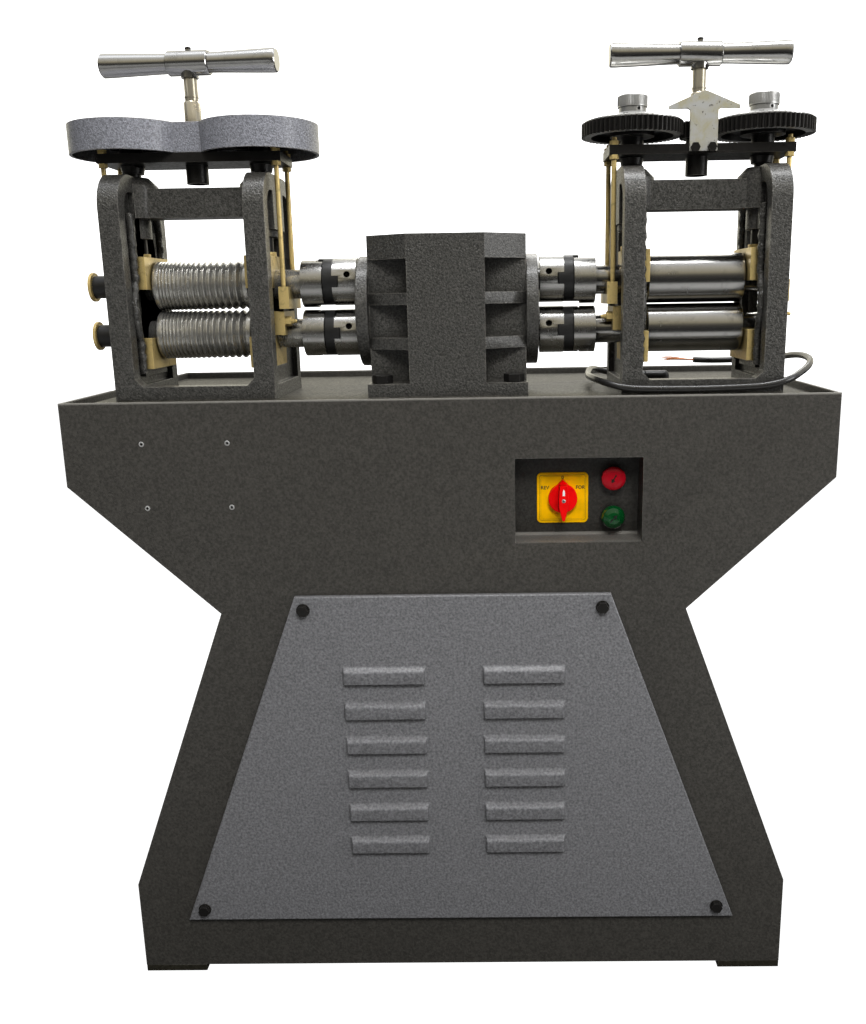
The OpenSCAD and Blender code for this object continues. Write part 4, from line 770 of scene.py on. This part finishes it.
# Flat outlines on the controls, as pairs across and up
KNOB_MARK = [(-0.0016, 0.0065), (0.0016, 0.0065), (0.0014, 0.0125), (0, 0.0150), (-0.0012, 0.0125)]
ARROW = [(-0.0008, -0.0062), (0.0008, -0.0062), (0.0008, 0.0016), (0.0030, 0.0016), (0, 0.0064),
         (-0.0030, 0.0016), (-0.0008, 0.0016)]

# A dial's cone: its foot above the dial's lower face, its rise over its run, and its outer radius
CONE_FOOT, CONE_RISE, CONE_RUN, CONE_RADIUS = 0.0015, 0.010, 0.0395, 0.059


class MILL_OT_camera(bpy.types.Operator):
    """Camera at the picture's place"""

    bl_idname = "mill.camera"
    bl_label = "Camera"

    def execute(self, context):
        data = bpy.data.cameras.new("Camera")
        data.sensor_width = 36
        data.lens = 33.85
        data.shift_x, data.shift_y = -0.0519, 0.0089
        data.clip_start, data.clip_end = 0.05, 60
        camera = bpy.data.objects.new("Camera", data)
        context.scene.collection.objects.link(camera)
        turn = Matrix((CAMERA_RIGHT, CAMERA_UP, -CAMERA_AHEAD)).transposed().to_4x4()
        camera.matrix_world = Matrix.Translation(CAMERA_PLACE) @ turn
        context.scene.camera = camera
        return {"FINISHED"}


class MILL_OT_cabinet(bpy.types.Operator):
    """Cabinet, tray, feet, louvred cover and bed plate"""

    bl_idname = "mill.cabinet"
    bl_label = "Cabinet"

    def execute(self, context):
        sheet = context.scene.mill_sizes.sheet_edge
        finished("cabinet_front", "cabinet", sheet, 3)
        for node in ("cabinet_sides", "cabinet_back"):
            finished(node, "cabinet", sheet * 0.6)
        for node in ("tray_floor", "motor_plate", "foot_plates", "bed_plate"):
            finished(node, "tray", sheet)
        finished("control_box", "recess", sheet * 0.6)
        self.folded_cover(sheet)
        finished("cover_bolts", "black", 0.0004)
        finished("hold_down_bolts", "black", 0.0006)
        self.rivet_marks()
        return {"FINISHED"}

    def folded_cover(self, fold):
        """Front cover as one folded sheet, with its louvres pressed out of it."""
        low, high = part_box("front_cover")
        front, flange, thick = low.y + 0.007, 0.008, 0.002
        top_half = max(abs(v.co.x) for v in FRAME["nodes"]["front_cover"].data.vertices if v.co.z > high.z - 1e-4)
        bm = bmesh.new()
        corners = [(-top_half, high.z), (-high.x, low.z), (high.x, low.z), (top_half, high.z)]
        bm.faces.new([bm.verts.new((x, front, z)) for x, z in corners])
        columns = [side * LOUVRE_X + end * LOUVRE_WIDE for side, end in CORNERS]
        levels = [row + end * LOUVRE_HIGH for row in LOUVRE_ROWS for end in (-1, 1)]
        for place, normal in [((x, 0, 0), (1, 0, 0)) for x in columns] + [((0, 0, z), (0, 0, 1)) for z in levels]:
            whole = bm.verts[:] + bm.edges[:] + bm.faces[:]
            bmesh.ops.bisect_plane(bm, geom=whole, plane_co=place, plane_no=normal)
        outline = [e for e in bm.edges if e.is_boundary]
        soft = list(outline)
        for row in LOUVRE_ROWS:
            for face in [f for f in bm.faces if abs(f.calc_center_median().z - row) < 0.004]:
                if abs(abs(face.calc_center_median().x) - LOUVRE_X) < 0.01:
                    soft += self.pressed_louvre(bm, face, row)
        rim = bmesh.ops.extrude_edge_only(bm, edges=outline)["geom"]
        bmesh.ops.translate(bm, verts=[v for v in rim if isinstance(v, bmesh.types.BMVert)], vec=(0, flange, 0))
        soften(bm, [e for e in dict.fromkeys(soft) if e.is_valid and len(e.link_faces) == 2], fold * 1.7, 4)
        cover = make_piece("front_cover_folded", bm, "cover", "machine", slot_of("front_cover"), 40)
        thicken = cover.modifiers.new("Sheet", "SOLIDIFY")
        thicken.thickness, thicken.offset = thick, -1
        cover.modifiers.new("Flat faces", "WEIGHTED_NORMAL").keep_sharp = True
        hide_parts("front_cover")

    def pressed_louvre(self, bm, face, row):
        """Press a face of the sheet out to a hood that is open below. Returns the edges that are rounded."""
        grown = bmesh.ops.extrude_face_region(bm, geom=[face])["geom"]
        hood = next(f for f in grown if isinstance(f, bmesh.types.BMFace))
        proud_above, proud_below, taper = 0.0070, 0.0066, 0.0012
        for vert in hood.verts:
            upper = vert.co.z > row
            vert.co.y -= proud_above if upper else proud_below
            vert.co.z = row + (LOUVRE_HIGH * 0.55 if upper else -LOUVRE_HIGH)
            vert.co.x += taper if vert.co.x < face.calc_center_median().x else -taper
        walls = list(dict.fromkeys(f for e in hood.edges for f in e.link_faces if f is not hood))
        sill = row - LOUVRE_HIGH + 1e-5
        mouth = next(f for f in walls if f.normal.z < -0.8 or f.calc_center_median().z < sill)
        lips = mouth.edges[:]
        soft = [e for f in (hood, *walls) if f is not mouth for e in f.edges if e not in lips]
        bmesh.ops.delete(bm, geom=[mouth], context="FACES_ONLY")
        if face.is_valid:
            bmesh.ops.delete(bm, geom=[face], context="FACES_ONLY")
        return soft

    def rivet_marks(self):
        """Bare rings round the four holes of the missing nameplate."""
        mount = next(m for m in FRAME["record"]["mounts"] if m["name"] == "nameplate_holes")
        x, _, z = mount["pos_m"]
        across, high = mount["dims"]["spacing_x_mm"] / 2000, mount["dims"]["spacing_y_mm"] / 2000
        bm = bmesh.new()
        for sx, sz in CORNERS:
            add_lathe(bm, HOLE_RING, (x + sx * across, FRONT_Y, z + sz * high), (0, -1, 0), 20)
        make_piece("nameplate_hole_rings", bm, "alloy", "machine", "bright_steel")


class MILL_OT_controls(bpy.types.Operator):
    """Switch plate with its legend, knob and push buttons"""

    bl_idname = "mill.controls"
    bl_label = "Controls"

    def execute(self, context):
        finished("switch_plate", "yellow", 0.0004, 3)
        finished("switch_bodies", "black plastic", 0.0006)
        finished("switch_knob", "red", 0.0004)
        finished("red_button", "red lens", 0.0005, 3)
        finished("green_button", "green lens", 0.0006, 3, angle=20)
        self.legend(context.scene.mill_sizes.legend)
        self.knob_marks()
        self.arrows()
        return {"FINISHED"}

    def legend(self, size):
        """Printed words and double border on the switch plate."""
        low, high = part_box("switch_plate")
        centre, half = (low + high) / 2, (high.x - low.x) / 2
        face = facing_front(centre.x, low.y - 0.00012, centre.z)
        bm = bmesh.new()
        for words, x, z in (("0", 0, 0.80), ("REV", -0.69, 0.40), ("FOR", 0.69, 0.40)):
            add_words(bm, words, size, face @ Matrix.Translation((x * half, z * half, 0)), 0.00008)
        line, thick, inset = 0.0003, 0.00016, half * 0.9
        for turn in range(4):
            side = face @ Matrix.Rotation(turn * pi / 2, 4, "Z")
            add_box(bm, side @ Matrix.Translation((0, inset, 0)), (inset * 1.86, line, thick))
            add_box(bm, side @ Matrix.Translation((0, inset - 0.0016, 0)), (inset * 1.7, line * 0.6, thick))
            corner = Matrix.Translation((inset * 0.965, inset * 0.965, 0)) @ Matrix.Rotation(-pi / 4, 4, "Z")
            add_box(bm, side @ corner, (0.003, line, thick))
        make_piece("switch_legend", bm, "ink", "machine", "black_plastic")

    def knob_marks(self):
        """White mark on the knob's pointer, and its slotted screw."""
        centre = middle("switch_plate")
        face = facing_front(centre.x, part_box("switch_knob")[0].y, centre.z)
        bm = bmesh.new()
        add_prism(bm, KNOB_MARK, 0.0003, face, 0.0001)
        make_piece("knob_white_mark", bm, "white ink", "switch_knob", "red_plastic")
        bm = bmesh.new()
        add_lathe(bm, KNOB_SCREW, face.translation, (0, -1, 0), 24)
        make_piece("knob_screw", bm, "alloy", "switch_knob", "bright_steel")
        bm = bmesh.new()
        for turn in (0.4, 0.4 + pi / 2):
            slot = Matrix.Rotation(turn, 4, "Z") @ Matrix.Translation((0, 0, 0.0008))
            add_box(bm, face @ slot, (0.003, 0.0005, 0.0004))
        make_piece("knob_screw_slot", bm, "ink", "switch_knob", "black_plastic")

    def arrows(self):
        """Arrow on each lens, turned as the picture shows it."""
        for name, turn, size in (("red", radians(150), 0.95), ("green", radians(-45), 1.0)):
            low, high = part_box(name + "_button")
            centre = (low + high) / 2
            place = facing_front(centre.x, low.y + 0.0002, centre.z) @ Matrix.Rotation(turn, 4, "Z")
            bm = bmesh.new()
            add_prism(bm, [(x * size, y * size) for x, y in ARROW], 0.0005, place, 0.0001)
            make_piece(name + "_button_arrow", bm, "arrow ink", name + "_button", "black_plastic")


class MILL_OT_gearbox(bpy.types.Operator):
    """Gearbox case and side covers, drive shafts and couplings"""

    bl_idname = "mill.gearbox"
    bl_label = "Gearbox"

    def execute(self, context):
        sizes = context.scene.mill_sizes
        finished("gearbox_case", "casting", sizes.cast_edge, 3)
        finished("gearbox_side_covers", "casting", sizes.cast_edge * 0.7, 3)
        for node in ("lower_drive_shaft", "upper_drive_shaft", "left_upper_hub", "right_upper_hub"):
            finished(node, "shaft", sizes.cut_edge * 1.4)
        for node in ("lower_coupling_discs", "upper_coupling_discs"):
            finished(node, "polymer", sizes.cut_edge)
        return {"FINISHED"}


class MILL_OT_heads(bpy.types.Operator):
    """Cast housings with their bearings"""

    bl_idname = "mill.heads"
    bl_label = "Heads"

    def execute(self, context):
        sizes = context.scene.mill_sizes
        for side, head in HEADS.items():
            finished(
                side + "_housing", ["casting", "hollow"], sizes.cast_edge, 3,
                pick=lambda c, n, x=head.x: self.in_hollow(c, n, x),
            )
            finished(side + "_upper_bushes", "brass", sizes.cut_edge * 1.2)
        finished("lower_bearings", "brass", sizes.cut_edge * 1.2)
        self.nipples()
        self.rim_beads()
        return {"FINISHED"}

    def in_hollow(self, centre, normal, head_x):
        """1 for the smooth web between the flanges of a standard, 0 for the hammered rest."""
        out, deep = abs(centre.x - head_x), abs(centre.y - MILL_Y)
        face, near, far, top = 0.0725, 0.03, 0.0612, 1.035
        return int(out > face and near < deep < far and centre.z < top and abs(normal.z) < 0.7)

    def rim_beads(self):
        """Rough cast bead beside each window, bowed out where the rolls pass."""
        bm = bmesh.new()
        level, foot, top, count = (LOW_Z + UP_Z) / 2, 0.822, 1.012, 46
        roll_room, window_half, bead_out, bead = 0.060, 0.0495, 0.0722, 0.0050
        for head in HEADS.values():
            for way, side in CORNERS:
                run, radii = [], []
                for k in range(count + 1):
                    z = foot + k * (top - foot) / count
                    bow = max(0.0, roll_room**2 - (z - level) ** 2) ** 0.5
                    deep = max(window_half, bow) + 0.0004 * sin(k * 2.3 + side)
                    x = head.x + way * (bead_out + 0.0005 * sin(k * 1.3))
                    run.append(Vector((x, MILL_Y + side * deep, z)))
                    radii.append(bead * (1 + 0.10 * sin(k * 1.9 + way) + 0.07 * sin(k * 4.1)))
                add_tube(bm, run, radii, 10)
        make_piece("window_rim_beads", bm, "bead", "machine", slot_of("left_housing"), 60)

    def nipples(self):
        """Ball tips on the oil nipples of the lower keepers."""
        reach, forward, rise = 0.112, -0.0245, 0.0155
        bm = bmesh.new()
        for head in HEADS.values():
            for way in (-1, 1):
                place = (head.x + way * reach, MILL_Y + forward, LOW_Z + rise)
                add_lathe(bm, NIPPLE_TIP, place, (way, 0, 0), 20)
        make_piece("oil_nipple_tips", bm, "brass", "machine", "bronze")


class MILL_OT_rolls(bpy.types.Operator):
    """Grooved and plain rolls, and the sleeves on the left rolls' outer ends"""

    bl_idname = "mill.rolls"
    bl_label = "Rolls"

    def execute(self, context):
        cut = context.scene.mill_sizes.cut_edge
        for level in ("lower", "upper"):
            finished("left_%s_roll" % level, level + " grooves", cut, angle=36)
            finished("right_%s_roll" % level, level + " roll", cut)
            node = "left_%s_end_cap" % level
            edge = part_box(node)[0].x + 0.0042
            finished(node, ["polymer", "brass"], cut, pick=lambda c, n, edge=edge: int(c.x < edge))
        return {"FINISHED"}


class MILL_OT_screwdown(bpy.types.Operator):
    """Crossheads, hangers, screws, gears, dials and pointer"""

    bl_idname = "mill.screwdown"
    bl_label = "Screwdown"

    def execute(self, context):
        sizes = context.scene.mill_sizes
        cut = sizes.cut_edge
        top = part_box("right_crosshead")[1].z
        collar = top - 0.0203
        thread_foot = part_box("left_housing")[1].z - 0.006
        for side in HEADS:
            finished(side + "_crosshead", "black", cut * 2.4)
            finished(side + "_hangers", "brass", cut)
        finished("left_gear_cover", "gear cover", 0.0016, 3)
        finished("right_pointer", "pointer", cut * 0.8)
        finished("pointer_bolts", "black", cut)
        for place in ("outer", "inner"):
            finished(
                "left_%s_screw" % place, ["black", "brassy"], 0,
                pick=lambda c, n: int(thread_foot < c.z < collar),
            )
            finished(
                "right_%s_screw" % place, ["brassy", "black"], cut,
                pick=lambda c, n: int(collar <= c.z < top - 0.008 or c.z < thread_foot),
            )
            low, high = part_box("right_%s_gear" % place)
            hub = Vector(((low.x + high.x) / 2, MILL_Y))
            web = high.z - 0.0158
            finished(
                "right_%s_gear" % place, ["black", "alloy"], cut * 0.6,
                pick=lambda c, n, hub=hub, web=web: int(
                    n.z < -0.5 and top + 0.004 < c.z < web + 0.004 and (c.xy - hub).length < 0.0275
                ),
            )
            finished("right_%s_dial" % place, "dial " + place, cut)
            self.dial_marks(place, sizes.dial_lines)
            self.dial_knurl(place)
        return {"FINISHED"}

    def dial_marks(self, place, lines):
        """Graduation lines and numbers on a dial's cone."""
        low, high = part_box("right_%s_dial" % place)
        centre, rim = (low + high) / 2, 0.0565

        def on_cone(line, radius, lift):
            height = low.z + CONE_FOOT + (CONE_RADIUS - radius) * CONE_RISE / CONE_RUN
            stand = Matrix.Translation((centre.x, centre.y, height)) @ Matrix.Rotation(2 * pi * line / lines, 4, "Z")
            tilt = Matrix.Rotation(atan2(CONE_RISE, CONE_RUN), 4, "Y")
            return stand @ Matrix.Translation((radius, 0, lift)) @ tilt

        bm = bmesh.new()
        for line in range(lines):
            reach = 0.0042 if line % 5 else 0.0075
            add_box(bm, on_cone(line, rim - reach / 2, 0.00005), (reach, 0.00045, 0.0003))
            if line % 5 == 0:
                upright = on_cone(line, rim - 0.0125, 0.0001) @ Matrix.Rotation(pi / 2, 4, "Z")
                add_words(bm, str(line), 0.0062, upright, 0.00012)
        make_piece("%s_dial_marks" % place, bm, "ink", "right_%s_screw" % place, "black_plastic")

    def dial_knurl(self, place):
        """Knurl round a dial's cap."""
        low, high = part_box("right_%s_dial" % place)
        centre, grip, ribs = (low + high) / 2, 0.018, 64
        axis = Matrix.Translation((centre.x, centre.y, high.z - 0.0068))
        bm = bmesh.new()
        for k in range(ribs):
            out = Matrix.Rotation(2 * pi * k / ribs, 4, "Z") @ Matrix.Translation((grip, 0, 0))
            add_box(bm, axis @ out @ Matrix.Rotation(pi / 4, 4, "Z"), (0.00062, 0.00062, 0.0105))
        make_piece("%s_dial_knurl" % place, bm, "dial " + place, "right_%s_screw" % place, "aluminium")


class MILL_OT_handles(bpy.types.Operator):
    """Spindles and hand tees with their screws"""

    bl_idname = "mill.handles"
    bl_label = "Hand tees"

    def execute(self, context):
        gear_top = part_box("right_outer_gear")[1].z
        for side in HEADS:
            finished(
                side + "_spindle", ["spindle " + side, "black"], 0,
                pick=lambda c, n: int(gear_top - 0.03 < c.z < gear_top + 0.0002),
            )
            finished(side + "_tee", "tee", context.scene.mill_sizes.cut_edge)
            self.tee_screws(side, HEADS[side].x)
        return {"FINISHED"}

    def tee_screws(self, side, x):
        """Slotted screw on top of the hub and a set screw low on its collar."""
        low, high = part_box(side + "_tee")
        bm = bmesh.new()
        add_lathe(bm, HUB_SCREW, (x, MILL_Y, high.z), (0, 0, 1), 24)
        add_lathe(bm, SET_SCREW, (x + 0.0075, MILL_Y - 0.0078, low.z + 0.0018), (0.69, -0.72, 0), 20)
        make_piece(side + "_tee_screws", bm, "black", side + "_handle", "black_steel")


class MILL_OT_drive(bpy.types.Operator):
    """Motor, belts, pulleys and worm shaft inside the cabinet, and the lead's outlet"""

    bl_idname = "mill.drive"
    bl_label = "Drive"

    def execute(self, context):
        finished("drive_motor", "motor", 0.0012)
        finished("motor_pulley", "iron", 0.0006)
        finished("worm_shaft", "iron", 0.0006)
        finished("drive_belts", "belt", 0.0012)
        finished("cable_gland", "black plastic", 0.0006)
        return {"FINISHED"}


# What polished metal shows, from straight ahead (0) over the top (0.5) to straight behind (1)
ROOM_BANDS = (
    (0.0, (0.025, 0.024, 0.023)), (0.067, (0.045, 0.043, 0.037)), (0.133, (0.20, 0.18, 0.13)),
    (0.278, (0.32, 0.305, 0.27)), (0.378, (0.36, 0.36, 0.36)), (0.444, (0.80, 0.82, 0.86)),
    (0.533, (0.80, 0.82, 0.86)), (0.589, (0.50, 0.50, 0.51)), (0.70, (0.47, 0.465, 0.43)),
    (0.833, (0.47, 0.45, 0.37)), (1.0, (0.62, 0.59, 0.48)),
)
# Colour of the floor by distance, up to 4 m: painted shade beside the mill, pale as painted light further out, dim
# far away
FLOOR_BANDS = (
    (0.0, (0.12, 0.12, 0.118)), (0.19, (0.14, 0.14, 0.137)), (0.3, (0.8, 0.8, 0.79)),
    (0.5, (0.8, 0.8, 0.79)), (0.68, (0.06, 0.06, 0.058)), (1.0, (0.06, 0.06, 0.058)),
)
# Each lamp: name, place, what it points at, width, height, watts, and whether metal shows it
LAMPS = (
    ("Front", (0.4, -2.15, 2.5), (0, -0.15, 0.65), 1.2, 0.8, 69, False),
    ("Window", (2.2, -1.0, 1.25), (0, -0.2, 0.8), 1.0, 1.2, 14, True),
    ("Ceiling", (0.2, -0.3, 2.7), (0.2, -0.299, 0), 1.6, 0.5, 30, True),
    ("Back", (0.5, 1.9, 2.5), (0, 0, 0.9), 2.0, 0.8, 22, True),
)


def bands(tree, value, stops):
    """Colours that follow one another along a value from 0 to 1."""
    node = put(tree, "ValToRGB", {0: value})
    marks = node.color_ramp.elements
    for mark, (place, colour) in zip(marks, (stops[0], stops[-1])):
        mark.position, mark.color = place, (*colour, 1)
    for place, colour in stops[1:-1]:
        marks.new(place).color = (*colour, 1)
    return node.outputs[0]


class MILL_OT_stage(bpy.types.Operator):
    """Pale floor, white surroundings and soft studio lamps"""

    bl_idname = "mill.stage"
    bl_label = "Stage"

    def execute(self, context):
        self.floor(context)
        self.world(context)
        for row in LAMPS:
            self.lamp(context, *row)
        context.scene.view_settings.view_transform = "Standard"
        return {"FINISHED"}

    def floor(self, context):
        """Floor that is white where it is seen and banded with painted shade and light for what metal shows of it,
        with a painted light patch glowing far to the left.
        """
        bm = bmesh.new()
        bmesh.ops.create_grid(bm, x_segments=1, y_segments=1, size=9)
        mesh = bpy.data.meshes.new("floor")
        bm.to_mesh(mesh)
        bm.free()
        material, tree = start_material("Pale floor")
        place = object_place(tree)
        away = put(tree, "VectorMath", {0: place}, operation="LENGTH").outputs["Value"]
        shaded(material, Roughness=0.9, Base_Color=bands(tree, calc(tree, "DIVIDE", away, 4.0), FLOOR_BANDS))
        # Painted light: far to the left the floor glows for all rays except camera rays.
        left = span(tree, put(tree, "SeparateXYZ", {0: place}).outputs[0], 0.0, -1.6)
        lit = times(tree, left, span(tree, away, 2.2, 3.2))
        direct = put(tree, "LightPath").outputs["Is Camera Ray"]
        colour = mix(tree, direct, mix(tree, lit, (0, 0, 0), (0.5, 0.5, 0.49)), (1, 1, 1))
        glow = put(tree, "Emission", {"Color": colour, "Strength": 1.3}).outputs[0]
        paint = tree.nodes["Principled BSDF"].outputs[0]
        both = put(tree, "MixShader", {0: span(tree, direct, 0.0, 1.0, 0.5, 0.9), 1: paint, 2: glow})
        tree.links.new(both.outputs[0], tree.nodes["Material Output"].inputs[0])
        mesh.materials.append(material)
        floor = bpy.data.objects.new("floor", mesh)
        context.scene.collection.objects.link(floor)

    def world(self, context):
        """White where it is seen, a dim room for the light on the mill, and a banded room for what metal shows."""
        world = bpy.data.worlds.new("Studio")
        context.scene.world = world
        world.use_nodes = True
        tree = world.node_tree
        tree.nodes.clear()
        way = put(tree, "SeparateXYZ", {0: put(tree, "TexCoord").outputs["Generated"]}).outputs
        room = mix(tree, span(tree, way[2], -0.3, 0.8), (0.017, 0.0165, 0.0155), (0.1, 0.1, 0.102))
        overhead = calc(tree, "ARCTAN2", way[2], times(tree, way[1], -1.0))
        shine = bands(tree, calc(tree, "DIVIDE", overhead, pi), ROOM_BANDS)
        shine = mix(tree, span(tree, way[0], 0.72, 0.9), shine, (0.22, 0.22, 0.22))
        shine = mix(tree, span(tree, way[0], -0.72, -0.9), shine, (0.03, 0.03, 0.029))
        rays = put(tree, "LightPath").outputs
        bright = calc(tree, "MAXIMUM", rays["Is Glossy Ray"], rays["Is Transmission Ray"])
        colour = mix(tree, rays["Is Camera Ray"], mix(tree, bright, room, shine), (1, 1, 1))
        light = put(tree, "Background", {"Color": colour, "Strength": 2.1}).outputs[0]
        put(tree, "OutputWorld", {0: light})

    def lamp(self, context, name, place, target, wide, high, power, mirrored):
        """Rectangular lamp that looks at its target."""
        data = bpy.data.lights.new(name, "AREA")
        data.shape, data.size, data.size_y, data.energy = "RECTANGLE", wide, high, power
        lamp = bpy.data.objects.new(name, data)
        lamp.location = place
        lamp.rotation_mode = "QUATERNION"
        lamp.rotation_quaternion = (Vector(target) - Vector(place)).to_track_quat("-Z", "Y")
        lamp.visible_glossy = mirrored
        context.scene.collection.objects.link(lamp)


STEPS = (
    MILL_OT_camera, MILL_OT_lead, MILL_OT_cabinet, MILL_OT_controls, MILL_OT_gearbox, MILL_OT_heads,
    MILL_OT_rolls, MILL_OT_screwdown, MILL_OT_handles, MILL_OT_drive, MILL_OT_stage,
)


class MILL_PT_panel(bpy.types.Panel):
    """Buttons for each group of pieces, with the sizes and colours they use"""

    bl_idname = "MILL_PT_panel"
    bl_label = "Rolling Mill"
    bl_space_type = "VIEW_3D"
    bl_region_type = "UI"
    bl_category = "Rolling Mill"

    def draw(self, context):
        for step in STEPS:
            self.layout.operator(step.bl_idname)
        for settings in (context.scene.mill_sizes, context.scene.mill_colours):
            box = self.layout.box()
            for name in settings.bl_rna.properties.keys():
                if name not in ("rna_type", "name"):
                    box.prop(settings, name)


CLASSES = (MillColours, MillSizes, *STEPS, MILL_PT_panel)


def register():
    for each in CLASSES:
        bpy.utils.register_class(each)
    bpy.types.Scene.mill_colours = bpy.props.PointerProperty(type=MillColours)
    bpy.types.Scene.mill_sizes = bpy.props.PointerProperty(type=MillSizes)


def unregister():
    del bpy.types.Scene.mill_sizes
    del bpy.types.Scene.mill_colours
    for each in reversed(CLASSES):
        bpy.utils.unregister_class(each)


def main():
    register()
    for step in STEPS:
        group, name = step.bl_idname.split(".")
        done = getattr(getattr(bpy.ops, group), name)()
        if done != {"FINISHED"}:
            raise RuntimeError(step.bl_label + " wasn't finished")
    bpy.context.view_layer.update()


if __name__ == "__main__":
    main()
